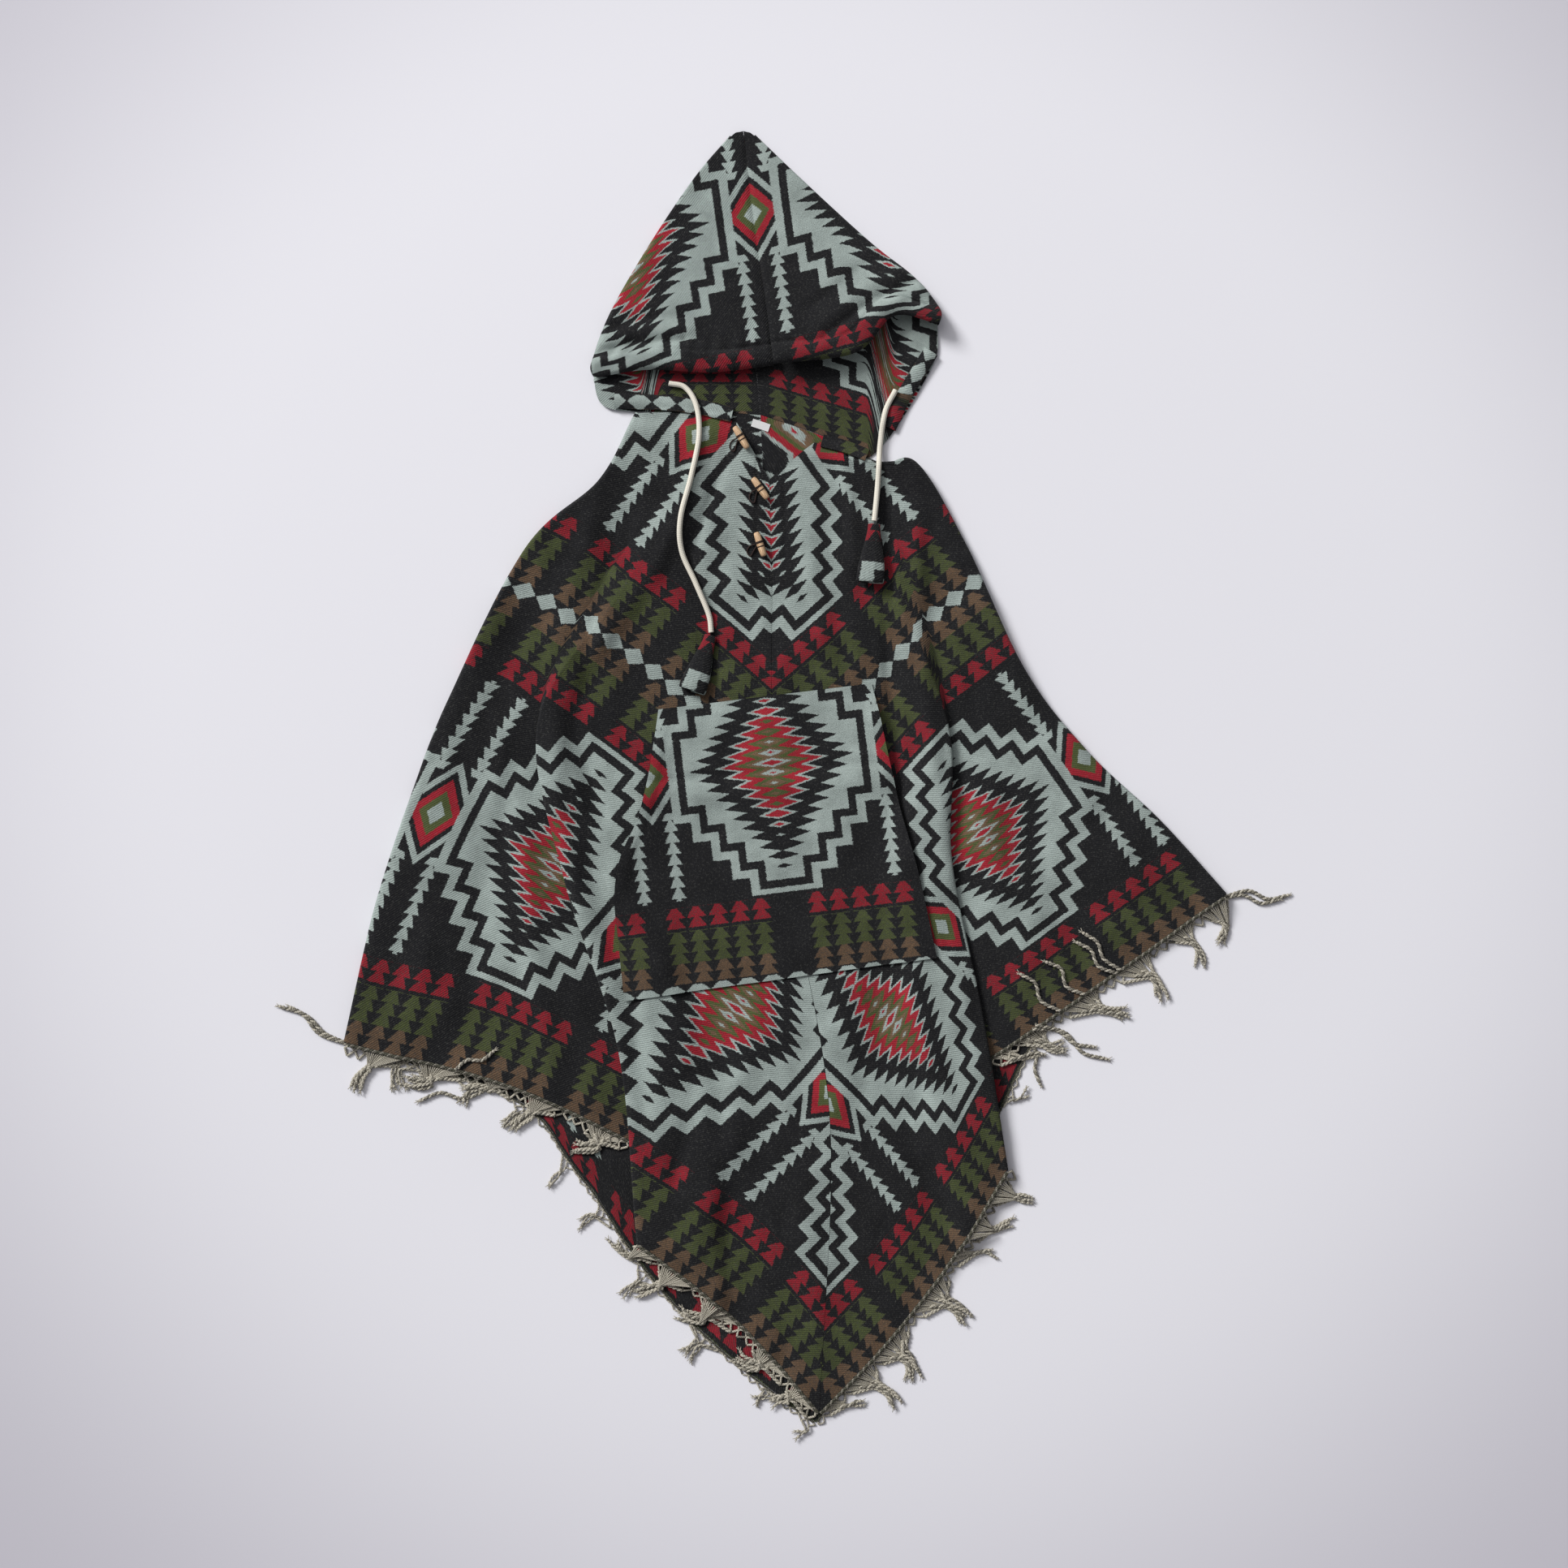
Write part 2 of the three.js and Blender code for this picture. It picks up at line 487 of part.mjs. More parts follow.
// Fringes follow the hem points of the front and wing layers, and of the back layer
const hemOf = (grid, first, last) => grid[grid.length - 1].slice(first, last + 1).map((point) => point.clone());
const loose = { radius: 1.4, high: 4, low: 2, reach: 50, pitch: 18 };
const onBack = { ...loose, low: 3.4 };
const beneath = { radius: 0.8, high: 1.1, low: 1.1, reach: 40, pitch: 32 };
add('fringe_front_left', fringe(hemOf(left, 0, 4), 1, onBack), YARN);
add('fringe_front_right', fringe(hemOf(right, 0, 4), -1, loose), YARN);
add('fringe_wing_left', fringe(hemOf(left, 14, 17), 1, onBack, [-590, -256]), YARN);
add('fringe_wing_right', fringe(hemOf(right, 14, 17), -1, loose, [590, -128]), YARN);
add('fringe_back_left', fringe(hemOf(left, 23, 27), -1, beneath), YARN);
add('fringe_back_right', fringe(hemOf(right, 23, 27), 1, beneath), YARN);

export default garment;
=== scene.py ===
import json
import math
import random

import bpy
import numpy as np
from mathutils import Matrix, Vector, noise
from mathutils.bvhtree import BVHTree

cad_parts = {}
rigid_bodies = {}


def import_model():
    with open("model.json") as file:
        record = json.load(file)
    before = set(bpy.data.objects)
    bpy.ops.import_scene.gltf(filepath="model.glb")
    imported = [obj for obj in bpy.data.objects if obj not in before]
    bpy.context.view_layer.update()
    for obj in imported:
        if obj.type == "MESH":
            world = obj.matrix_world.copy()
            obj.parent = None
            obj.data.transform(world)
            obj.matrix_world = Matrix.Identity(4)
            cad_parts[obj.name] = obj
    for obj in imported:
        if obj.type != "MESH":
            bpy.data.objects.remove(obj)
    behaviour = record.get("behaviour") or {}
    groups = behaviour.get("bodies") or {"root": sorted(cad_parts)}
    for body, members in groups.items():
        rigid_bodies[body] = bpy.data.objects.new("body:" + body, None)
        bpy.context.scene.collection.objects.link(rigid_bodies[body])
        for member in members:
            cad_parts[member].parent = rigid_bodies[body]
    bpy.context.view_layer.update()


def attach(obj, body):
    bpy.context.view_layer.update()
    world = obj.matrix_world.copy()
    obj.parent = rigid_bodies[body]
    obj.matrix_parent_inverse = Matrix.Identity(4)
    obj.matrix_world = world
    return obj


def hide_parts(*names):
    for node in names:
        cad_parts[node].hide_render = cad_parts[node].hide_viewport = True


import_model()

# The studio: a pale sheet of paper on the floor, soft daylight from the upper left, a weak
# broad light above, and the camera straight above, as high as its lens needs to see the whole
# poncho with its fringe.
VIEW_WIDTH = 1.816
CAMERA_HEIGHT = 2.6
SENSOR = 0.036
LIGHTS = [
    dict(name="window_light", kind="SUN", place=(-3.5, 3.1, 3.1), size=math.radians(20), power=3.42),
    dict(name="ceiling_light", kind="AREA", place=(-1.0, 1.7, 2.6), size=2.0, power=22),
]
ROOM_LIGHT = 0.3
FLOOR_SIZE = 60
FLOOR_BELOW = 0.0004
# Painted shade: the paper's tone darkens away from this lit middle, between these two distances from it, in
# place of the lights' fall-off
LIT_MIDDLE = (0.02, 0.10, 0.0)
SHADE_FALL = (0.70, 1.45)


def linear(red, green, blue):
    """A colour read from a screen, 0 to 255, as light."""
    shares = (c / 255 for c in (red, green, blue))
    return (*(((share + 0.055) / 1.055) ** 2.4 if share > 0.04 else share / 12.92 for share in shares), 1.0)


bpy.context.scene.view_settings.view_transform = "Standard"
camera_data = bpy.data.cameras.new("camera_above")
camera_data.sensor_width = SENSOR * 1000
camera_data.lens = SENSOR * 1000 * CAMERA_HEIGHT / VIEW_WIDTH
camera = bpy.data.objects.new("camera_above", camera_data)
camera.location = (0, 0, CAMERA_HEIGHT)
bpy.context.collection.objects.link(camera)
bpy.context.scene.camera = camera

for light in LIGHTS:
    lamp_data = bpy.data.lights.new(light["name"], light["kind"])
    if light["kind"] == "SUN":
        lamp_data.angle = light["size"]
    else:
        lamp_data.size = light["size"]
    lamp_data.energy = light["power"]
    lamp = bpy.data.objects.new(light["name"], lamp_data)
    lamp.location = light["place"]
    lamp.rotation_euler = (-Vector(light["place"])).to_track_quat("-Z", "Y").to_euler()
    bpy.context.collection.objects.link(lamp)
world = bpy.data.worlds.new("room")
world.use_nodes = True
world.node_tree.nodes["Background"].inputs["Color"].default_value = linear(238, 238, 244)
world.node_tree.nodes["Background"].inputs["Strength"].default_value = ROOM_LIGHT
bpy.context.scene.world = world

bpy.ops.object.select_all(action="DESELECT")
bpy.ops.mesh.primitive_plane_add(size=FLOOR_SIZE, location=(0, 0, -FLOOR_BELOW))
floor = bpy.context.object
floor.name = "paper_floor"


def new_material(name, roughness):
    """A new material, with its node tree and its Principled shader."""
    material = bpy.data.materials.new(name)
    material.use_nodes = True
    shader = material.node_tree.nodes["Principled BSDF"]
    shader.inputs["Roughness"].default_value = roughness
    return material, material.node_tree, shader


paper, tree, shader = new_material("pale_paper", 0.85)
place = tree.nodes.new("ShaderNodeTexCoord")
away = tree.nodes.new("ShaderNodeVectorMath")
away.operation = "DISTANCE"
away.inputs[1].default_value = LIT_MIDDLE
painted_shade_ramp = tree.nodes.new("ShaderNodeMapRange")
painted_shade_ramp.interpolation_type = "SMOOTHSTEP"
painted_shade_ramp.inputs["From Min"].default_value, painted_shade_ramp.inputs["From Max"].default_value = SHADE_FALL
# Painted shade: the paper goes from its own tone to a darker grey-violet away from the lit middle
tone = tree.nodes.new("ShaderNodeMix")
tone.data_type = "RGBA"
tone.inputs[6].default_value = linear(225, 224, 229)
tone.inputs[7].default_value = linear(187, 184, 192)
tree.links.new(place.outputs["Object"], away.inputs[0])
tree.links.new(away.outputs["Value"], painted_shade_ramp.inputs["Value"])
tree.links.new(painted_shade_ramp.outputs["Result"], tone.inputs["Factor"])
tree.links.new(tone.outputs[2], shader.inputs["Base Color"])
floor.data.materials.append(paper)

# The two halves of the body: each is one width of woven blanket cloth that runs from the mitred
# centre front, over the arm edge and back to the centre back. A pleat beside the front panel
# swallows the cloth that the wing, swung out, doesn't need.
# The cloth's thickness in metres, then half of it and the layers' heights in millimetres
WALL = 0.0018
HALF_WALL = 0.9
BACK_Z = HALF_WALL
FRONT_Z = 3.3
FOLD_RADIUS = 1.9
ARM_RADIUS = 2.8
CENTRE_FRONT = [(-17, 352), (-14, 236), (-13, 76), (8, -117), (53, -389), (41, -726)]
CENTRE_BACK = [(-27, 427), (-24, 342), (-22, 233), (-17, 71), (0, -117), (27, -408), (37, -739)]
LEFT_HALF = dict(
    neck=(-55, 419),
    front_bow=(8, 9),
    back_bow=(-15, -16),
    fold=[(-96, 427), (-114, 344), (-189, 217), (-281, 71), (-250, -112), (-189, -305), (-167, -530)],
    tuck=[(-106, 428), (-132, 345), (-216, 228), (-283, 71), (-217, -98), (-135, -267), (-94, -457)],
    wing=[(-134, 430), (-170, 352), (-250, 250), (-335, 81), (-339, -79), (-321, -239), (-302, -353)],
    arm=[(-172, 430), (-214, 352), (-299, 273), (-388, 98), (-433, -18), (-474, -145), (-509, -298)],
    outer=[(-128, 430), (-165, 352), (-231, 245), (-306, 76), (-335, -88), (-335, -239), (-306, -367)],
    inner=[(-81, 430), (-100, 347), (-137, 239), (-175, 70), (-194, -107), (-214, -305), (-214, -478)],
)
RIGHT_HALF = dict(
    neck=(35, 395),
    front_bow=(11, -8.5),
    back_bow=(-5, 4),
    fold=[(60, 389), (90, 335), (132, 211), (188, 62), (191, -88), (227, -267), (256, -446)],
    tuck=[(70, 386), (105, 340), (154, 222), (190, 62), (159, -79), (169, -241), (179, -357)],
    wing=[(88, 379), (126, 351), (181, 244), (233, 100), (267, -27), (333, -115), (382, -218)],
    arm=[(113, 368), (154, 371), (211, 276), (278, 133), (350, 39), (436, -43), (511, -126)],
    outer=[(86, 385), (118, 350), (164, 236), (216, 92), (258, -32), (290, -140), (319, -254)],
    inner=[(41, 404), (55, 346), (81, 233), (117, 79), (154, -88), (182, -258), (227, -419)],
)
# Creases and soft folds of the upper layer: the line in plan, half width and height
CREASES = [
    dict(line=[(120, 330), (118, 250), (124, 110), (131, -30), (150, -110)], width=9, height=-6.5),
    dict(line=[(150, 320), (156, 200), (166, 60), (186, -60)], width=12, height=5.4),
    dict(line=[(70, 300), (84, 200), (92, 120)], width=13, height=3.2),
    dict(line=[(-205, 350), (-250, 215), (-268, 90)], width=16, height=4.2),
    dict(line=[(-170, 330), (-215, 215), (-235, 100)], width=9, height=-3.4),
    dict(line=[(-262, 90), (-262, -20), (-232, -150), (-200, -260)], width=11, height=5.6),
    dict(line=[(-228, 40), (-214, -110), (-176, -250), (-158, -400)], width=9, height=-5.4),
    dict(line=[(-345, 200), (-400, -20), (-420, -250)], width=24, height=4.6),
    dict(line=[(-300, 60), (-345, -120), (-372, -300)], width=14, height=-4.0),
    dict(line=[(-300, -40), (-290, -200), (-262, -350)], width=17, height=5.0),
    dict(line=[(215, 250), (300, 40), (420, -110)], width=22, height=4.6),
    dict(line=[(205, 120), (285, -60), (340, -200)], width=14, height=-4.2),
    dict(line=[(215, -20), (262, -140), (292, -240)], width=14, height=5.2),
    dict(line=[(190, -20), (206, -160), (236, -300)], width=9, height=-4.6),
    dict(line=[(-40, -290), (-60, -420), (-110, -540)], width=17, height=4.0),
    dict(line=[(-95, -280), (-110, -400), (-135, -480)], width=10, height=-3.2),
    dict(line=[(100, -260), (130, -380), (170, -480)], width=13, height=-3.8),
    dict(line=[(150, -250), (176, -340), (205, -420)], width=12, height=3.6),
    dict(line=[(20, -420), (30, -560), (40, -690)], width=19, height=4.0),
    dict(line=[(-90, 400), (-110, 330), (-150, 250)], width=11, height=4.4),
    dict(line=[(-60, 395), (-84, 330), (-110, 260)], width=7, height=-3.0),
    dict(line=[(66, 380), (78, 320), (82, 240)], width=9, height=3.6),
    dict(line=[(-60, 300), (-90, 200), (-90, 110)], width=14, height=-3.0),
    dict(line=[(-20, 350), (-14, 260), (-10, 160), (-12, 110)], width=7, height=-2.4),
    dict(line=[(30, 300), (35, 210), (52, 130)], width=13, height=3.2),
]
# The woven design: its bands' depths, its repeat up the cloth and the width of one column
HEM_BAND = 92
BAND = 200
REPEAT = 500
COLUMN = 290


def line_through(points):
    """A smooth line through plan points, read by the point's number."""
    points = np.array(points, float)
    ends = np.vstack([2 * points[0] - points[1], points, 2 * points[-1] - points[-2]])

    def at(place):
        i = int(min(max(place, 0), len(points) - 1.000001))
        f = min(max(place - i, 0.0), 1.0)
        a, b, c, d = ends[i : i + 4]
        square, cube = (2 * a - 5 * b + 4 * c - d) * f**2, (3 * b - a - 3 * c + d) * f**3
        return 0.5 * (2 * b + (c - a) * f + square + cube)

    return at


def square_to(line, place, side, last):
    """The unit vector in plan square to a line, on the given side."""
    along = line(min(place + 0.05, last)) - line(max(place - 0.05, 0))
    along /= np.linalg.norm(along)
    return np.array([-side * along[1], side * along[0]])


def smooth(value, low, high):
    """0 up to low, 1 from high on, and a smooth step between them."""
    f = np.clip((np.asarray(value, float) - low) / (high - low), 0, 1)
    return f * f * (3 - 2 * f)


def crease_lift(creases, x, y, low_ends=False):
    """The height that a set of creases adds at one plan point, less towards their ends if asked."""
    lift = 0
    for crease in creases:
        line = crease["line"]
        near = 1e9
        for (ax, ay), (bx, by) in zip(line, line[1:]):
            f = ((x - ax) * (bx - ax) + (y - ay) * (by - ay)) / ((bx - ax) ** 2 + (by - ay) ** 2)
            f = min(max(f, 0), 1)
            near = min(near, math.hypot(x - ax - f * (bx - ax), y - ay - f * (by - ay)))
        share = 1
        if low_ends:
            to_end = min(math.hypot(x - line[end][0], y - line[end][1]) for end in (0, -1))
            share = min(1, 0.35 + to_end / 60) if near < 3 * crease["width"] else 0
        lift += crease["height"] * math.exp(-((near / crease["width"]) ** 2)) * share
    return lift


def lift_at(x, y):
    """How far the upper layer stands off the lower one, in millimetres."""
    lift = 3.6 + 2.4 * noise.noise((x / 170, y / 170, 3.1)) + 3.8 * noise.noise((x / 46, y / 85, 8.4))
    lift += 1.7 * noise.noise((x / 19, y / 30, 1.7)) + crease_lift(CREASES, x, y, low_ends=True)
    at_toggles = math.exp(-(((x + 36) / 42) ** 2) - ((y - 335) / 85) ** 2)
    placket = math.exp(-(((abs(x + 15) - 16) / 2.4) ** 2)) * float(smooth(y, 222, 236))
    return max(lift * (1 - 0.65 * at_toggles) + 0.7 - 1.3 * placket, 0.0)


def half_grid(half, side, stations=210):
    """The half's middle surface, a row per station from neck to hem, and each column's group."""
    lines = {name: line_through(points) for name, points in half.items() if isinstance(points, list)}
    centre, spine = line_through(CENTRE_FRONT), line_through(CENTRE_BACK)
    marks = np.linspace(0, 6, 61)
    steps = [np.linalg.norm(lines["wing"](b) - lines["wing"](a)) + 40 for a, b in zip(marks, marks[1:])]
    travelled = np.concatenate([[0], np.cumsum(steps)])
    places = np.interp(np.linspace(0, travelled[-1], stations), travelled, marks)
    rows = []
    for place in places:
        seam = np.array(half["neck"]) * (1 - place) + centre(0) * place if place < 1 else centre(place - 1)
        seam = seam + (side * 0.2, 0)
        back_seam = spine(place) + (side * 0.2, 0)
        fold, tuck, wing = lines["fold"](place), lines["tuck"](place), lines["wing"](place)
        fold_out = square_to(lines["fold"], place, side, 6)
        tuck_out = square_to(lines["tuck"], place, side, 6)
        arm_out = square_to(lines["arm"], place, side, 6)
        spread = float((tuck - fold) @ fold_out)
        drop = 4 * FOLD_RADIUS * float(smooth(place, 0.4, 2.6))
        turn = max(math.atan2(drop * float(smooth(spread, -10, 0)), spread - 2 * FOLD_RADIUS), 0.02)
        radius = max(FOLD_RADIUS, 3 / turn)
        width = np.linalg.norm(fold - seam)
        risen = max(1 - (14 + 1.2 * max(-spread, 0)) / width, 0.5)
        rising = max(risen - 30 / width, 0.3)
        folded = float(smooth(turn, 1.2, 3.0))
        top = FRONT_Z + drop
        points = []

        def put(plan, z, weight):
            points.append((plan[0], plan[1], z, weight))

        near_hem = float(smooth(place, 4.6, 6))
        for share in np.linspace(0, 1, 46)[:-1]:
            bow = np.array(half["front_bow"]) * near_hem * math.sin(math.pi * share)
            plan = seam + (fold - seam) * share + bow
            put(plan, FRONT_Z + drop * float(smooth(share, rising, risen)), 1)
        for k in range(7):
            angle = turn * k / 6
            plan = fold + fold_out * radius * math.sin(angle)
            put(plan, top - radius * (1 - math.cos(angle)), 1 - 0.6 * folded * k / 6)
        start = fold + fold_out * radius * math.sin(turn)
        stop = tuck - tuck_out * radius * math.sin(turn)
        low, high = FRONT_Z + radius * (1 - math.cos(turn)), top - radius * (1 - math.cos(turn))
        for f in np.linspace(0, 1, 10)[1:-1]:
            put(start + (stop - start) * f, high + (low - high) * f, 1 - 0.6 * folded)
        for k in range(7):
            angle = turn * (1 - k / 6)
            weight = (1 - 0.6 * folded) * (1 - folded * k / 6)
            put(tuck - tuck_out * radius * math.sin(angle), FRONT_Z + radius * (1 - math.cos(angle)), weight)
        edge = lines["arm"](place) - arm_out * (ARM_RADIUS + HALF_WALL)
        run = line_through([tuck, wing, edge])
        for f in np.linspace(0, 2, 44)[1:-1]:
            plan = run(f)
            beyond = float((plan - fold) @ fold_out)
            near_edge = np.linalg.norm(plan - edge)
            rise = (2 * ARM_RADIUS + BACK_Z - FRONT_Z) * float(smooth(near_edge, 46, 0))
            free = float(smooth(beyond, 6, 46))
            put(plan, FRONT_Z + rise, (1 - folded) + folded * free)
        for k in range(9):
            angle = math.pi * k / 8
            plan = edge + arm_out * ARM_RADIUS * math.sin(angle)
            put(plan, BACK_Z + ARM_RADIUS * (1 + math.cos(angle)), 1 - k / 8)
        run = line_through([edge, lines["outer"](place), lines["inner"](place), back_seam])
        for f in np.linspace(0, 3, 27)[1:]:
            bow = np.array(half["back_bow"]) * near_hem * math.sin(math.pi * max(f - 2, 0))
            put(run(f) + bow, BACK_Z, 0)
        rows.append(points)
    grid = np.array(rows)
    for r in range(grid.shape[0]):
        neck = float(smooth(places[r], 0, 0.35))
        for c in range(grid.shape[1]):
            if grid[r, c, 3] > 0:
                grid[r, c, 2] += grid[r, c, 3] * neck * lift_at(grid[r, c, 0], grid[r, c, 1])
    return grid[:, :, :3], places


# A half's grid has 45 columns to the fold, 7 round it, 8 to the tuck, 7 round that, 42 to the arm
# edge, 9 round it and 26 on the back. The pattern on the back has slipped up by BACK_SHIFT.
FRONT_COLUMNS, WING_FROM, ARM_FROM, BACK_FROM = 52, 67, 109, 118
BACK_SHIFT = 60


def weave_places(grid, places, side, front_angle, wing_angle, upper_angle):
    """Where each point lies in the flat cloth: along the hem from the centre seam, and up from it."""
    plan = grid[:, :, :2]
    rows, columns = plan.shape[:2]
    share = np.zeros(columns)
    share[WING_FROM:] = 1
    share[FRONT_COLUMNS:WING_FROM] = np.linspace(0, 1, WING_FROM - FRONT_COLUMNS)
    spots = np.zeros((rows, columns, 2))
    for r in range(rows):
        lowered = smooth(places[r], 2.2, 4.6)
        lower = front_angle + (wing_angle - front_angle) * share
        angle = np.radians(upper_angle + (lower - upper_angle) * lowered)
        outward = np.stack([np.cos(angle), np.sin(angle)], 1)
        upward = side * np.stack([np.cos(angle + math.pi / 2), np.sin(angle + math.pi / 2)], 1)
        step = plan[r] - (plan[r - 1] if r else plan[0, 0])
        moved = np.stack([(step * outward).sum(1), (step * upward).sum(1)], 1)
        spots[r] = moved + (spots[r - 1] if r else 0)
    spots[:, ARM_FROM:] = spots[:, ARM_FROM - 1 : ARM_FROM]
    for c in range(ARM_FROM, columns):
        spots[:, c, 0] += np.linalg.norm(plan[:, c] - plan[:, ARM_FROM - 1], axis=1)
    rise = (places / 6)[:, None] ** 1.5
    hem = spots[-1, :, 1]
    spots[:, :, 1] -= hem[None, :] * rise + (1 - rise) * np.median(hem[:WING_FROM])
    spots[:, :, 0] -= spots[-1, 0, 0]
    spots[:, ARM_FROM:, 1] += BACK_SHIFT * smooth(np.arange(ARM_FROM, columns), ARM_FROM + 4, BACK_FROM + 1)
    return spots


def join_at_seam(left, right):
    """Brings both halves' weave places to the same rows along the centre-front seam."""
    shared = (left[:, 0] + right[:, 0]) / 2
    for spots in (left, right):
        shift = shared - spots[:, 0]
        fade = 1 - smooth(np.arange(spots.shape[1]), 0, FRONT_COLUMNS)
        spots += shift[:, None, :] * fade[None, :, None]


def cloth_piece(name, grid, spots, turn_column=None, turned_spots=None):
    """A sheet of cloth as a mesh: its middle surface with weave places, given its thickness.
    Past turn_column the cloth takes its places from turned_spots, as past a sewn edge."""
    rows, columns = grid.shape[:2]
    vertices = (grid.reshape(-1, 3) / 1000).tolist()
    faces = [
        (r * columns + c, r * columns + c + 1, (r + 1) * columns + c + 1, (r + 1) * columns + c)
        for r in range(rows - 1)
        for c in range(columns - 1)
    ]
    across, down = Vector(grid[1, 1] - grid[1, 0]), Vector(grid[1, 0] - grid[0, 0])
    if across.cross(down).z < 0:
        faces = [face[::-1] for face in faces]
    mesh = bpy.data.meshes.new(name)
    mesh.from_pydata(vertices, [], faces)
    layer = mesh.uv_layers.new(name="weave_place")
    corners = np.empty(len(mesh.loops), dtype=np.int32)
    mesh.loops.foreach_get("vertex_index", corners)
    flat = spots.reshape(-1, 2)[corners]
    if turn_column is not None:
        is_turned = np.repeat(np.arange(len(faces)) % (columns - 1) >= turn_column, 4)
        flat[is_turned] = turned_spots.reshape(-1, 2)[corners][is_turned]
    layer.data.foreach_set("uv", (flat / 1000).ravel())
    piece = bpy.data.objects.new(name, mesh)
    bpy.context.collection.objects.link(piece)
    bpy.ops.object.select_all(action="DESELECT")
    bpy.context.view_layer.objects.active = piece
    piece.select_set(True)
    wall = piece.modifiers.new("wall", "SOLIDIFY")
    wall.thickness = WALL
    wall.offset = 0
    wall.use_rim = True
    bpy.ops.object.modifier_apply(modifier="wall")
    bpy.ops.object.shade_smooth_by_angle(angle=math.radians(60))
    return piece


def feed(tree, socket, value):
    """Sets a socket to a number or a colour, or links it to another node's output."""
    if isinstance(value, (int, float, tuple)):
        socket.default_value = value
    else:
        tree.links.new(value, socket)


def maths(tree, operation, *values, clamp=False):
    """One Math node, fed with numbers or with other nodes' outputs."""
    node = tree.nodes.new("ShaderNodeMath")
    node.operation = operation
    node.use_clamp = clamp
    for socket, value in zip(node.inputs, values):
        feed(tree, socket, value)
    return node.outputs[0]


def painted(tree, mask, under, over):
    """One colour laid over another where the mask is 1."""
    node = tree.nodes.new("ShaderNodeMix")
    node.data_type = "RGBA"
    for socket, value in ((0, mask), (6, under), (7, over)):
        feed(tree, node.inputs[socket], value)
    return node.outputs[2]


def texture(tree, kind, vector, **values):
    """A texture node read at a vector, with its inputs set by name."""
    node = tree.nodes.new("ShaderNodeTex" + kind)
    tree.links.new(vector, node.inputs["Vector"])
    for name, value in values.items():
        node.inputs[name.replace("_", " ")].default_value = value
    return node


def raised(tree, shader, height, strength, distance):
    """A Bump node that lifts the surface by a height."""
    node = tree.nodes.new("ShaderNodeBump")
    node.inputs["Strength"].default_value = strength
    node.inputs["Distance"].default_value = distance
    tree.links.new(height, node.inputs["Height"])
    tree.links.new(node.outputs[0], shader.inputs["Normal"])


def attribute(tree, name):
    """A mesh attribute's vector, as it is and taken apart."""
    node = tree.nodes.new("ShaderNodeAttribute")
    node.attribute_name = name
    parts = tree.nodes.new("ShaderNodeSeparateXYZ")
    tree.links.new(node.outputs["Vector"], parts.inputs[0])
    return node.outputs["Vector"], parts.outputs


CHARCOAL = linear(27, 27, 29)
PALE = linear(152, 163, 158)
RED = linear(150, 34, 46)
OLIVE = linear(78, 86, 50)
BROWN = linear(108, 86, 66)

# The woven design as a node group: bands of stacked triangles, and terraced diamonds between them
design = bpy.data.node_groups.new("blanket_design", "ShaderNodeTree")
design.interface.new_socket("Weave Place", in_out="INPUT", socket_type="NodeSocketVector")
design.interface.new_socket("Column Start", in_out="INPUT", socket_type="NodeSocketFloat")
design.interface.new_socket("Color", in_out="OUTPUT", socket_type="NodeSocketColor")
entry = design.nodes.new("NodeGroupInput")
leaving = design.nodes.new("NodeGroupOutput")
rough_edge = texture(design, "Noise", entry.outputs["Weave Place"], Scale=420, Detail=6, Roughness=0.85)
fray = design.nodes.new("ShaderNodeSeparateColor")
design.links.new(rough_edge.outputs["Color"], fray.inputs[0])
place = design.nodes.new("ShaderNodeSeparateXYZ")
design.links.new(entry.outputs["Weave Place"], place.inputs[0])
fray_x = maths(design, "MULTIPLY_ADD", fray.outputs[0], 9.0, -4.5)
fray_y = maths(design, "MULTIPLY_ADD", fray.outputs[1], 6.4, -3.2)
along = maths(design, "ABSOLUTE", maths(design, "MULTIPLY", place.outputs[0], 1000.0))
along = maths(design, "ADD", along, fray_x)
up = maths(design, "ADD", maths(design, "MULTIPLY", place.outputs[1], 1000.0), fray_y)
rise = maths(design, "FLOORED_MODULO", maths(design, "SUBTRACT", up, float(HEM_BAND)), float(REPEAT))
aside = maths(design, "PINGPONG", maths(design, "SUBTRACT", along, entry.outputs["Column Start"]), COLUMN / 2)
between = maths(design, "SUBTRACT", COLUMN / 2, aside)
height = maths(design, "ABSOLUTE", maths(design, "SUBTRACT", rise, (REPEAT - BAND) / 2))


def below(value, limit):
    return maths(design, "LESS_THAN", value, limit)


def above(value, limit):
    return maths(design, "GREATER_THAN", value, limit)


def past(value, start):
    """How far a value is past a start, and 0 before it."""
    return maths(design, "MAXIMUM", maths(design, "SUBTRACT", value, start), 0.0)


def terrace(spread_across, spread_up):
    """The stepped diamond, grown outwards by the given amounts."""
    up_steps = maths(design, "FLOOR", maths(design, "DIVIDE", past(height, spread_up), STEP_UP))
    return below(maths(design, "MULTIPLY_ADD", up_steps, STEP_ACROSS, past(aside, spread_across)), TERRACE)


STEP_UP, STEP_ACROSS, TERRACE = 24.0, 20.0, 84.0
colour = CHARCOAL
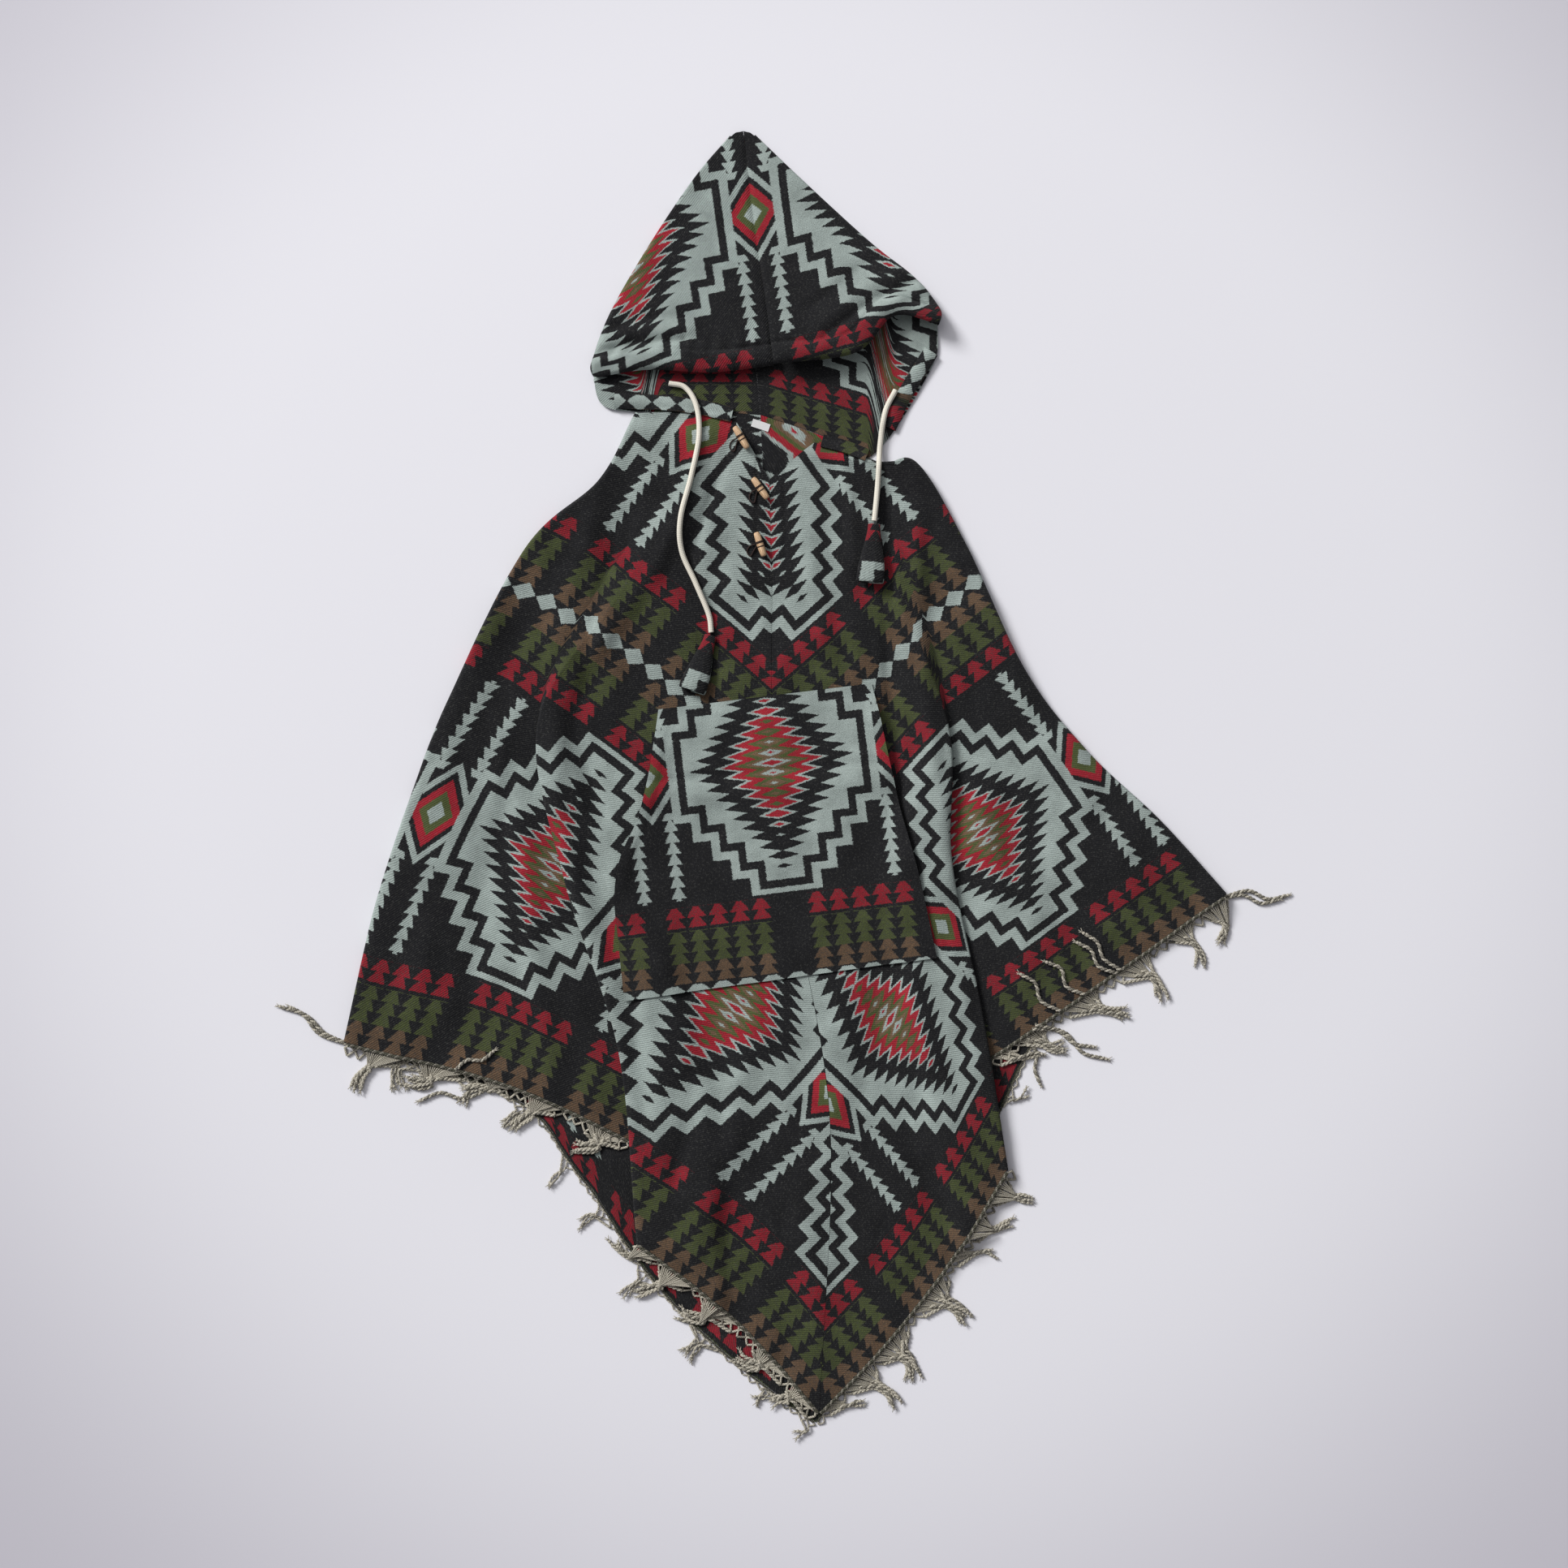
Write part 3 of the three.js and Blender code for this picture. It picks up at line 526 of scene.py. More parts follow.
# Feathers of stacked triangles and a small ringed diamond stand between the medallions
barb = maths(design, "FRACT", maths(design, "DIVIDE", height, 13.0))
from_stem = maths(design, "ABSOLUTE", maths(design, "SUBTRACT", between, 20.0))
feather = below(from_stem, maths(design, "MULTIPLY_ADD", barb, 7.0, 1.6))
for limit in (above(height, 44.0), below(height, 146.0)):
    feather = maths(design, "MULTIPLY", feather, limit)
colour = painted(design, feather, colour, PALE)
rings = maths(design, "MULTIPLY_ADD", height, 0.8, between)
for size, ring in ((44.0, PALE), (36.0, CHARCOAL), (29.0, RED), (19.0, OLIVE), (10.0, PALE)):
    colour = painted(design, below(rings, size), colour, ring)
for across, upward, ring in ((37.0, 33.0, PALE), (27.0, 24.0, CHARCOAL), (18.0, 15.0, PALE)):
    colour = painted(design, terrace(across, upward), colour, ring)
# The medallion's middle: long saw teeth of black, red, olive and brown, each row inside the last
teeth = maths(design, "MULTIPLY", maths(design, "PINGPONG", height, 6.0), 3.6)
dazzle = maths(design, "ADD", maths(design, "MULTIPLY_ADD", height, 0.72, aside), teeth)
DAZZLE = [
    (96.0, CHARCOAL), (66.0, PALE), (59.0, RED), (43.0, OLIVE), (33.0, BROWN), (23.0, PALE), (13.0, RED),
]
for size, ring in DAZZLE:
    colour = painted(design, below(dazzle, size), colour, ring)
# The band between two rows of medallions, the lower half of which also runs along the hem: motifs
# of stacked triangles in groups of five, in rows of red, olive and brown on either side of a check
band_up = maths(design, "SUBTRACT", rise, float(REPEAT - BAND))
gaps = 4.0
for gap_at in (30.0, 100.0, 170.0):
    gaps = maths(design, "MULTIPLY_ADD", above(band_up, gap_at), 4.0, gaps)
row = maths(design, "FRACT", maths(design, "DIVIDE", maths(design, "SUBTRACT", band_up, gaps), 12.0))
grouped = maths(design, "FLOORED_MODULO", maths(design, "SUBTRACT", along, 10.0), COLUMN / 2)
grouped = maths(design, "SUBTRACT", grouped, 10.0)
off_stem = maths(design, "SUBTRACT", 12.5, maths(design, "PINGPONG", grouped, 12.5))
triangle = below(off_stem, maths(design, "MULTIPLY_ADD", row, -8.0, 11.2))
for limit in (above(grouped, 0.0), below(grouped, 125.0)):
    triangle = maths(design, "MULTIPLY", triangle, limit)
stripes = design.nodes.new("ShaderNodeValToRGB")
stripes.color_ramp.interpolation = "CONSTANT"
stripes.color_ramp.elements.remove(stripes.color_ramp.elements[-1])
stripes.color_ramp.elements[0].color = CHARCOAL
STRIPES = [
    (4, RED), (28, CHARCOAL), (32, OLIVE), (68, BROWN), (92, CHARCOAL),
    (108, BROWN), (132, OLIVE), (168, CHARCOAL), (172, RED), (196, CHARCOAL),
]
for start, shade in STRIPES:
    stripes.color_ramp.elements.new(start / BAND).color = shade
design.links.new(maths(design, "DIVIDE", band_up, float(BAND)), stripes.inputs[0])
dark_fibres = maths(design, "MULTIPLY_ADD", fray.outputs[2], 2.6, -0.95, clamp=True)
heathered = painted(design, dark_fibres, stripes.outputs[0], CHARCOAL)
band = painted(design, triangle, CHARCOAL, heathered)
from_middle = maths(design, "ABSOLUTE", maths(design, "SUBTRACT", band_up, BAND / 2))
checks = maths(design, "MULTIPLY_ADD", maths(design, "PINGPONG", along, 14.5), 0.8, from_middle)
from_hem = maths(design, "ABSOLUTE", maths(design, "SUBTRACT", up, 14.0))
check_row = maths(design, "MULTIPLY", below(checks, 11.0), above(from_hem, 15.0))
band = painted(design, check_row, band, PALE)
colour = painted(design, above(band_up, 0.0), colour, band)
lint = maths(design, "MULTIPLY_ADD", fray.outputs[2], 2.8, -1.48, clamp=True)
colour = painted(design, lint, colour, linear(104, 104, 99))
design.links.new(colour, leaving.inputs["Color"])

# Brushed wool as a node group: a fine twill, loose fibres over it and slow changes of tone
brushed = bpy.data.node_groups.new("brushed_twill", "ShaderNodeTree")
brushed.interface.new_socket("Weave Place", in_out="INPUT", socket_type="NodeSocketVector")
brushed.interface.new_socket("Tone", in_out="OUTPUT", socket_type="NodeSocketFloat")
brushed.interface.new_socket("Height", in_out="OUTPUT", socket_type="NodeSocketFloat")
entry = brushed.nodes.new("NodeGroupInput")
leaving = brushed.nodes.new("NodeGroupOutput")
spot = entry.outputs["Weave Place"]
twill = texture(brushed, "Wave", spot, Scale=190, Distortion=2.5, Detail_Scale=3)
twill.bands_direction = "DIAGONAL"
fibres = texture(brushed, "Noise", spot, Scale=900, Detail=5)
felting = texture(brushed, "Noise", spot, Scale=26, Detail=9, Roughness=0.68)
ribs = maths(brushed, "MULTIPLY", twill.outputs["Fac"], 0.4)
brushed.links.new(maths(brushed, "MULTIPLY_ADD", fibres.outputs[0], 0.7, ribs), leaving.inputs["Height"])
mottle = maths(brushed, "MULTIPLY_ADD", felting.outputs[0], 0.9, 0.36)
tone = maths(brushed, "MULTIPLY", mottle, maths(brushed, "MULTIPLY_ADD", fibres.outputs[0], 1.0, 0.66))
brushed.links.new(tone, leaving.inputs["Tone"])


def blanket_material(name, column_start=120.0):
    """Blanket cloth: the woven design, brushed, with a soft bloom of fibre at grazing angles."""
    material, tree, cloth = new_material(name, 0.95)
    spot = tree.nodes.new("ShaderNodeUVMap")
    spot.uv_map = "weave_place"
    pattern = tree.nodes.new("ShaderNodeGroup")
    pattern.node_tree = design
    pattern.inputs["Column Start"].default_value = column_start
    nap = tree.nodes.new("ShaderNodeGroup")
    nap.node_tree = brushed
    tree.links.new(spot.outputs[0], pattern.inputs[0])
    tree.links.new(spot.outputs[0], nap.inputs[0])
    toned = tree.nodes.new("ShaderNodeVectorMath")
    toned.operation = "SCALE"
    tree.links.new(pattern.outputs["Color"], toned.inputs[0])
    tree.links.new(nap.outputs["Tone"], toned.inputs["Scale"])
    tree.links.new(toned.outputs[0], cloth.inputs["Base Color"])
    raised(tree, cloth, nap.outputs["Height"], 0.7, 0.0014)
    cloth.inputs["Specular IOR Level"].default_value = 0.12
    cloth.inputs["Sheen Weight"].default_value = 0.04
    cloth.inputs["Sheen Roughness"].default_value = 0.6
    return material


left_grid, left_places = half_grid(LEFT_HALF, -1)
right_grid, right_places = half_grid(RIGHT_HALF, 1)
left_spots = weave_places(left_grid, left_places, -1, 137, 157, 143)
right_spots = weave_places(right_grid, right_places, 1, 52.5, 34.5, 40)
join_at_seam(left_spots, right_spots)
body_cloth = blanket_material("blanket_cloth_body")
for name, grid, spots in (("half_left", left_grid, left_spots), ("half_right", right_grid, right_spots)):
    piece = cloth_piece(name + "_cloth", grid, spots)
    piece.data.materials.append(body_cloth)
    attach(piece, "root")
    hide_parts(name)

# The hood: two panels of the same cloth joined along the centre seam that runs up to the tip.
# Each lies folded at its side, and its mouth edge is turned in as a casing for the drawstring.
HOOD_LEFT = dict(
    seam=[(-47.2, 755), (-41.2, 697), (-30.2, 615), (-20.2, 548), (-12.2, 483)],
    brow=[(-51, 754), (-60, 697), (-72, 614), (-77, 543), (-84, 475)],
    temple=[(-56, 753), (-82, 697), (-118, 613), (-140, 540), (-158, 478)],
    side=[(-63, 750), (-107, 697), (-163, 612), (-205, 536), (-228, 470)],
    jaw=[(-58, 749), (-88, 690), (-135, 606), (-172, 520), (-206, 436)],
    nape=[(-54, 749), (-74, 690), (-106, 606), (-128, 517), (-146, 430.5)],
    collar=[(-51, 749), (-60, 690), (-74, 606), (-82, 515), (-82, 430.5)],
    spine=[(-47.2, 749), (-45.2, 690), (-41.2, 606), (-35.2, 512), (-27.2, 427.4)],
    puff=[2.4, 3.5, 6, 9, 12],
)
HOOD_RIGHT = dict(
    seam=[(-46.8, 755), (-40.8, 697), (-29.8, 615), (-19.8, 548), (-11.8, 483)],
    brow=[(-43, 754), (-22, 698), (12, 620), (42, 556), (82, 496)],
    temple=[(-39, 753), (-2, 699), (55, 626), (104, 578), (126, 538)],
    side=[(-33, 751), (20, 700), (98, 628), (156, 580), (188, 536)],
    jaw=[(-36, 749), (4, 690), (66, 608), (116, 532), (170, 480)],
    nape=[(-40, 749), (-12, 690), (30, 607), (66, 516), (100, 379)],
    collar=[(-43, 749), (-28, 690), (-5, 606), (15, 513), (42, 404.6)],
    spine=[(-46.8, 749), (-44.8, 690), (-40.8, 606), (-34.8, 512), (-26.8, 427.4)],
    puff=[2.4, 3.5, 7, 14, 22],
)
HOOD_CREASES = [
    dict(line=[(-226, 482), (-180, 496), (-120, 500), (-60, 492)], width=7, height=3.4),
    dict(line=[(-222, 494), (-176, 508), (-116, 512)], width=5, height=-2.6),
    dict(line=[(-218, 505), (-170, 522), (-110, 524)], width=8, height=2.8),
    dict(line=[(-214, 520), (-166, 538), (-112, 540)], width=6, height=-1.8),
    dict(line=[(-222, 462), (-170, 484), (-110, 484)], width=6, height=1.6),
    dict(line=[(40, 500), (110, 545), (165, 572)], width=8, height=3.0),
    dict(line=[(46, 514), (106, 559), (160, 584)], width=5, height=-2.6),
    dict(line=[(40, 528), (98, 574), (150, 598)], width=9, height=2.6),
    dict(line=[(30, 548), (84, 592), (130, 618)], width=7, height=-1.8),
    dict(line=[(-120, 600), (-90, 640), (-60, 700)], width=16, height=1.6),
    dict(line=[(30, 640), (60, 600), (70, 560)], width=14, height=1.6),
]
HOOD_TOP, HOOD_TURN, HOOD_UNDER = 64, 70, 77
HOOD_CORNER = 17.0


def hood_grid(panel, side, stations=130):
    """The panel's middle surface from tip to mouth: over the top, round the side and back below."""
    lines = {name: line_through(points) for name, points in panel.items() if name != "puff"}
    puff_at = line_through(list(enumerate(panel["puff"])))
    rows = []
    for place in np.linspace(0, 4, stations):
        puff = puff_at(place)[1]
        side_out = square_to(lines["side"], place, side, 4)
        edge = lines["side"](place) - side_out * (puff / 2 + HALF_WALL)
        over = line_through([lines["seam"](place), lines["brow"](place), lines["temple"](place), edge])
        under = line_through([edge] + [lines[name](place) for name in ("jaw", "nape", "collar", "spine")])
        row = [(*over(f), BACK_Z + puff) for f in np.linspace(0, 3, HOOD_TOP + 1)[:-1]]
        for k in range(13):
            angle = math.pi * k / 12
            plan = edge + side_out * puff / 2 * math.sin(angle)
            row.append((*plan, BACK_Z + puff / 2 * (1 + math.cos(angle))))
        row += [(*under(f), BACK_Z) for f in np.linspace(0, 4, 41)[1:]]
        rows.append(row)
    grid = np.array(rows)
    shifted = np.zeros(grid[:, :, :2].shape)
    for r in range(stations - 24, stations):
        for c in range(HOOD_TOP - 20, HOOD_UNDER + 14):
            up_panel = grid[r - 1, c, :2] - grid[r, c, :2]
            up_panel /= max(np.linalg.norm(up_panel), 1e-6)
            inward = grid[r, HOOD_TOP - 21, :2] - grid[r, HOOD_TURN, :2]
            inward /= np.linalg.norm(inward)
            from_mouth = abs((grid[-1, c, :2] - grid[r, c, :2]) @ up_panel)
            from_side = np.linalg.norm(grid[r, c, :2] - grid[r, HOOD_TURN, :2])
            short_up, short_in = HOOD_CORNER - from_mouth, HOOD_CORNER - from_side
            over_by = math.hypot(max(short_up, 0), max(short_in, 0)) / HOOD_CORNER
            if over_by > 1 and short_up > 0 and short_in > 0:
                pulled = 1 - 1 / over_by
                shifted[r, c] = up_panel * short_up * pulled + inward * short_in * pulled
    grid[:, :, :2] += shifted
    to_mouth = np.linalg.norm(np.diff(grid[:, :, :2], axis=0), axis=2)[::-1].cumsum(axis=0)[::-1]
    to_mouth = np.vstack([to_mouth, np.zeros((1, grid.shape[1]))])
    from_seam = np.linalg.norm(grid[:, :, :2] - grid[:, :1, :2], axis=2)
    for r in range(stations):
        near_tip = float(smooth(r / stations, 0, 0.12))
        for c in range(grid.shape[1]):
            x, y = grid[r, c, 0], grid[r, c, 1]
            if c <= HOOD_TURN:
                share = 1 if c < HOOD_TOP else 1 - (c - HOOD_TOP) / 7
                mouth, seam = to_mouth[r, c], from_seam[r, c]
                lift = 1.6 + 1.2 * noise.noise((x / 90, y / 90, 5.5))
                lift += 0.3 * noise.noise((x / 24, y / 24, 2.5)) + crease_lift(HOOD_CREASES, x, y)
                gather = math.sin(from_seam[-1, c] / 3.1 + 1.4 * math.sin(from_seam[-1, c] / 17))
                lift += 1.1 * gather * math.exp(-((mouth - 27) / 12) ** 2)
                # The casing of the mouth swells, and is stitched down along its upper edge
                lift += 3.0 * math.sin(math.pi * min(mouth / 23, 1))
                lift -= 1.5 * math.exp(-((mouth - 24.5) / 2.2) ** 2)
                lift -= 0.16 * max(4 - mouth, 0) ** 2
                lift -= 1.7 * math.exp(-((seam / 3.2) ** 2))
                grid[r, c, 2] += lift * share * near_tip
            elif c >= HOOD_UNDER and side < 0:
                corner = math.exp(-((x + 185) / 45) ** 2 - ((y - 455) / 26) ** 2)
                grid[r, c, 2] += corner * (3.2 + 2.6 * noise.noise((x / 16, y / 9, 4.4)))
            elif c >= HOOD_UNDER:
                corner = math.exp(-((x - 150) / 34) ** 2 - ((y - 505) / 40) ** 2)
                grid[r, c, 2] += corner * (2.6 + 2.2 * noise.noise((x / 14, y / 22, 6.4)))
    return grid


def hood_places(grid, side, slope):
    """The weave places of a panel's top, and those of the layer beneath, seen in the mouth."""
    outward = np.array([side * math.cos(math.radians(slope)), side * math.sin(math.radians(slope))])
    upward = np.array([-math.sin(math.radians(slope)), math.cos(math.radians(slope))])
    plan = grid[:, :, :2]
    along, risen = (plan - plan[:, :1]) @ outward, (plan - plan[-1, 0]) @ upward
    near_corner = smooth(side * plan[:, :, 0], *((60, 160) if side > 0 else (120, 210)))
    gathered = 42 * smooth(risen, 2, 64) + 5 * np.sin(along / 6.5) * np.exp(-((risen / 30) ** 2))
    over = np.stack([along, risen + 66 + near_corner * gathered], axis=2)
    to_corner = smooth(side * plan[:, :, 0], *((95, 128) if side > 0 else (140, 168)))
    lip = 430 - 0.30 * np.maximum(plan[:, :, 0] + 27, 0)
    aside, over_lip = np.abs(plan[:, :, 0] + 27), plan[:, :, 1] - lip
    under = np.stack([12 + aside, 22 + 1.2 * over_lip + 130 * to_corner], axis=2)
    return over, under


hood_cloth = blanket_material("blanket_cloth_hood", column_start=145.0)
hood_grids, hood_panels = [], []
for name, panel, side, slope in (("hood_left", HOOD_LEFT, -1, 11), ("hood_right", HOOD_RIGHT, 1, 15)):
    grid = hood_grid(panel, side)
    over, under = hood_places(grid, side, slope)
    piece = cloth_piece(name + "_cloth", grid, over, HOOD_TURN, under)
    piece.data.materials.append(hood_cloth)
    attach(piece, "root")
    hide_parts(name)
    hood_grids.append(grid)
    hood_panels.append(piece)

# The kangaroo pocket: one panel sewn on along its top and bottom. Its sides are left open for the
# hands, turned in once and stitched, and stand a little off the front.
POCKET_LEFT = [
    (-145, 86), (-150, 48), (-157, 6), (-169, -41),
    (-188, -84), (-195, -131), (-190, -187), (-184, -250),
]
POCKET_RIGHT = [
    (101, 116), (111, 76), (124, 15), (135, -32),
    (147, -74), (157, -112), (167, -158), (176, -200),
]
POCKET_SLOPE = 7.0
POCKET_ROWS, POCKET_COLUMNS = 96, 88


def surface_tree(*grids):
    """The middle surfaces of some sheets, to lay other pieces on."""
    vertices, faces = [], []
    for grid in grids:
        first, (rows, columns) = len(vertices), grid.shape[:2]
        vertices += [Vector(point) for point in grid.reshape(-1, 3)]
        for r in range(rows - 1):
            for c in range(columns - 1):
                here = first + r * columns + c
                faces.append((here, here + 1, here + columns + 1, here + columns))
    return BVHTree.FromPolygons(vertices, faces)


def height_on(tree, x, y, reach=0.0):
    """The top of the cloth at a plan point, or the highest within a reach; 0 is the table."""
    height = 0.0
    spots = [(x, y)]
    if reach:
        angles = (k * math.pi / 4 for k in range(8))
        spots += [(x + reach * math.cos(angle), y + reach * math.sin(angle)) for angle in angles]
    for px, py in spots:
        hit = tree.ray_cast(Vector((px, py, 90)), Vector((0, 0, -1)))[0]
        if hit is not None:
            height = max(height, hit.z + HALF_WALL)
    return height


def laid_grid(plan, tree, gap=0.35, reach=4.0, rounds=6):
    """A sheet laid on the cloth below it: the heights are softened but never pass into it."""
    rows, columns = plan.shape[:2]
    least = np.array([[height_on(tree, *plan[r, c], reach) for c in range(columns)] for r in range(rows)])
    least += HALF_WALL + gap
    heights = least.copy()
    for _ in range(rounds):
        padded = np.pad(heights, 1, mode="edge")
        around = (padded[:-2, 1:-1] + padded[2:, 1:-1] + padded[1:-1, :-2] + padded[1:-1, 2:]) / 4
        heights = np.maximum(least, (heights + 2 * around) / 3)
    return np.dstack([plan, heights])


body_tree = surface_tree(left_grid, right_grid)
left_edge, right_edge = line_through(POCKET_LEFT), line_through(POCKET_RIGHT)
pocket_rows = []
for place in np.linspace(0, len(POCKET_LEFT) - 1, POCKET_ROWS):
    shares = np.linspace(0, 1, POCKET_COLUMNS)
    pocket_rows.append([left_edge(place) * (1 - f) + right_edge(place) * f for f in shares])
pocket_plan = np.array(pocket_rows)
pocket_grid = laid_grid(pocket_plan, body_tree)
for r in range(POCKET_ROWS):
    opening = float(smooth(r, 2, 16) * (1 - smooth(r, 58, 72)))
    for c in range(POCKET_COLUMNS):
        x, y = pocket_plan[r, c]
        from_left, from_right = (np.linalg.norm(pocket_plan[r, c] - pocket_plan[r, end]) for end in (0, -1))
        lift = 1.8 + 1.6 * noise.noise((x / 60, y / 70, 9.1)) + 0.7 * noise.noise((x / 19, y / 22, 3.7))
        # A fold and the dip beside it run across the pocket, a little aslant
        across = y - 0.09 * x
        lift += 2.4 * math.exp(-(((across + 4) / 13) ** 2)) - 1.8 * math.exp(-(((across - 16) / 6) ** 2))
        swell = 4.5 * math.exp(-((from_left / 22) ** 2)) + 3.2 * math.exp(-((from_right / 22) ** 2))
        lift += opening * swell
        lift *= float(smooth(min(r, POCKET_ROWS - 1 - r), 0, 9))
        pocket_grid[r, c, 2] += max(lift, 0)
        for away in (from_left, from_right):
            turned_in, stitched = float(smooth(away, 16, 11)), math.exp(-(((away - 14) / 1.6) ** 2))
            pocket_grid[r, c, 2] += opening * (0.9 * turned_in - 0.9 * stitched)
slope = math.radians(POCKET_SLOPE)
from_middle = pocket_plan - np.array([-12.0, 8.0])
pocket_spots = np.dstack([
    from_middle @ np.array([math.cos(slope), math.sin(slope)]),
    from_middle @ np.array([-math.sin(slope), math.cos(slope)]) + 225,
])
pocket = cloth_piece("pocket_cloth", pocket_grid, pocket_spots)
pocket.data.materials.append(blanket_material("blanket_cloth_pocket", column_start=0.0))
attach(pocket, "root")
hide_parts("pocket")

# Casing strips on the lower lip of the hood's mouth, and the band on the right side of the neck:
# narrow strips of the same cloth, stitched down along both edges.
STRIPS = [
    dict(name="casing_left", line=[(-196, 443), (-150, 441), (-104, 437), (-60, 427)],
         width=17, low=-16.5, high=-16.5, bulge=2.2),
    dict(name="casing_right", line=[(170, 500), (154, 474), (136, 444), (121, 412)],
         width=17, low=-16.5, high=66, bulge=2.2),
    dict(name="neck_band", line=[(44, 397), (70, 390), (96, 380)],
         width=15, low=30, high=16, bulge=0.6),
]
STRIP_ROWS, STRIP_COLUMNS = 44, 11


def run_along(points):
    """How far along a line each of its points lies."""
    return np.concatenate([[0], np.linalg.norm(np.diff(points, axis=0), axis=1).cumsum()])


neck_tree = surface_tree(left_grid, right_grid, *(grid[:, HOOD_UNDER:] for grid in hood_grids))
strip_grids = []
for strip in STRIPS:
    along = line_through(strip["line"])
    last = len(strip["line"]) - 1
    plan = []
    across = np.linspace(-0.5, 0.5, STRIP_COLUMNS)
    for place in np.linspace(0, last, STRIP_ROWS):
        out = square_to(along, place, 1, last)
        plan.append([along(place) + out * strip["width"] * f for f in across])
    plan = np.array(plan)
    grid = laid_grid(plan, neck_tree, reach=3.0)
    grid[:, :, 2] += strip["bulge"] * (1 - (2 * across[None, :]) ** 2)
    ran = run_along(plan[:, STRIP_COLUMNS // 2])
    row = strip["low"] + (strip["high"] - strip["low"]) * smooth(np.linspace(0, 1, STRIP_ROWS), 0.55, 0.8)
    rows = row[:, None] + strip["width"] * (across[None, :] + 0.5)
    spots = np.dstack([np.repeat(ran[:, None], STRIP_COLUMNS, 1), rows])
    piece = cloth_piece(strip["name"] + "_cloth", grid, spots)
    piece.data.materials.append(hood_cloth)
    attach(piece, "root")
    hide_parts(strip["name"])
    strip_grids.append(grid)

# The label inside the back of the neck: a bare white woven tape, sewn in along its top. It is a
# CAD node with a finish of its own.
tape, tree, shader = new_material("woven_label_tape", 0.8)
spot = tree.nodes.new("ShaderNodeTexCoord")
ribs = texture(tree, "Wave", spot.outputs["Object"], Scale=420)
ribs.bands_direction = "Y"
raised(tree, shader, ribs.outputs["Fac"], 0.4, 0.0003)
# Painted shade: the tape is darker between its ribs and lighter on their crests
ribs_painted_shade = painted(tree, ribs.outputs["Fac"], linear(196, 196, 194), linear(226, 226, 224))
tree.links.new(ribs_painted_shade, shader.inputs["Base Color"])
label = next(piece for piece in bpy.data.objects if piece.name.startswith("neck_label"))
label.data.materials.clear()
label.data.materials.append(tape)

# Three barrel toggles of turned pale wood down the neck slit, each held by two turns of dark thread
# through its middle, on a loop of thin cord. They only lie on the front here.
TOGGLE_LENGTH = 29.0
TOGGLE_DIAMETER = 8.4
TOGGLES = [
    dict(name="toggle_1", start=(-57, 412), end=(-42, 387)),
    dict(name="toggle_2", start=(-36, 353), end=(-19, 329)),
    dict(name="toggle_3", start=(-32, 290), end=(-23, 263)),
]
# Each ring's radius and height, as shares of the diameter and the length
TOGGLE_RINGS = [
    (0.0, -0.5), (0.22, -0.5), (0.33, -0.485), (0.40, -0.45), (0.445, -0.36), (0.475, -0.24), (0.49, -0.12),
    (0.495, 0.0), (0.49, 0.12), (0.475, 0.24), (0.445, 0.36), (0.40, 0.45), (0.33, 0.485), (0.22, 0.5),
]
THREAD_TURNS = (-3.4, -2.1, 2.3)
THREAD_TURN_RADIUS = 4.35
THREAD_RADIUS = 0.55
LOOP_RADIUS = 0.8
# How far out from the toggle, and up along it, the loop of thin cord passes
LOOP = [(4.2, 0), (9, 4), (15, 9), (17, 3), (12, -2), (4.2, -2)]


def turned(name, rings, sides, flatness=1.0):
    """A round piece drawn out ring by ring from a circle, in millimetres, standing on its axis."""
    bpy.ops.object.select_all(action="DESELECT")
    radius, height = rings[0]
    bpy.ops.mesh.primitive_circle_add(vertices=sides, radius=radius, fill_type="NGON", location=(0, 0, 0))
    piece = bpy.context.object
    piece.name = name
    for corner in piece.data.vertices:
        corner.co.z = height
    bpy.ops.object.mode_set(mode="EDIT")
    bpy.ops.mesh.select_all(action="SELECT")
    for (radius, z), (next_radius, next_z) in zip(rings, rings[1:]):
        bpy.ops.mesh.extrude_region_move(TRANSFORM_OT_translate={"value": (0, 0, next_z - z)})
        grown = next_radius / radius
        bpy.ops.transform.resize(value=(grown, grown, 1), center_override=(0, 0, next_z))
    bpy.ops.mesh.select_all(action="SELECT")
    bpy.ops.mesh.normals_make_consistent(inside=False)
    bpy.ops.object.mode_set(mode="OBJECT")
    kept = piece.data.attributes.new("turned_place", "FLOAT_VECTOR", "POINT")
    kept.data.foreach_set("vector", np.array([tuple(corner.co) for corner in piece.data.vertices]).ravel())
    for corner in piece.data.vertices:
        corner.co.y *= flatness
    bpy.ops.object.shade_smooth_by_angle(angle=math.radians(50))
    return piece


def lay_down(piece, start, end):
    """Turns a standing piece to lie with its foot at start and its head towards end, in metres."""
    start, end = Vector(start), Vector(end)
    axis = (end - start).normalized()
    across = Vector((axis.y, -axis.x, 0)).normalized()
    up = across.cross(axis)
    middle = (start + end) / 2
    for corner in piece.data.vertices:
        x, y, z = corner.co
        corner.co = (middle + across * x - up * y + axis * z) / 1000
    piece.location = (0, 0, 0)


def square_frames(points):
    """The level direction and the upward one, both square to a line, at each of its points."""
    along = np.gradient(points, axis=0)
    along /= np.linalg.norm(along, axis=1)[:, None]
    across = np.stack([along[:, 1], -along[:, 0], np.zeros(len(points))], 1)
    across /= np.maximum(np.linalg.norm(across, axis=1), 1e-6)[:, None]
    return across, np.cross(across, along)


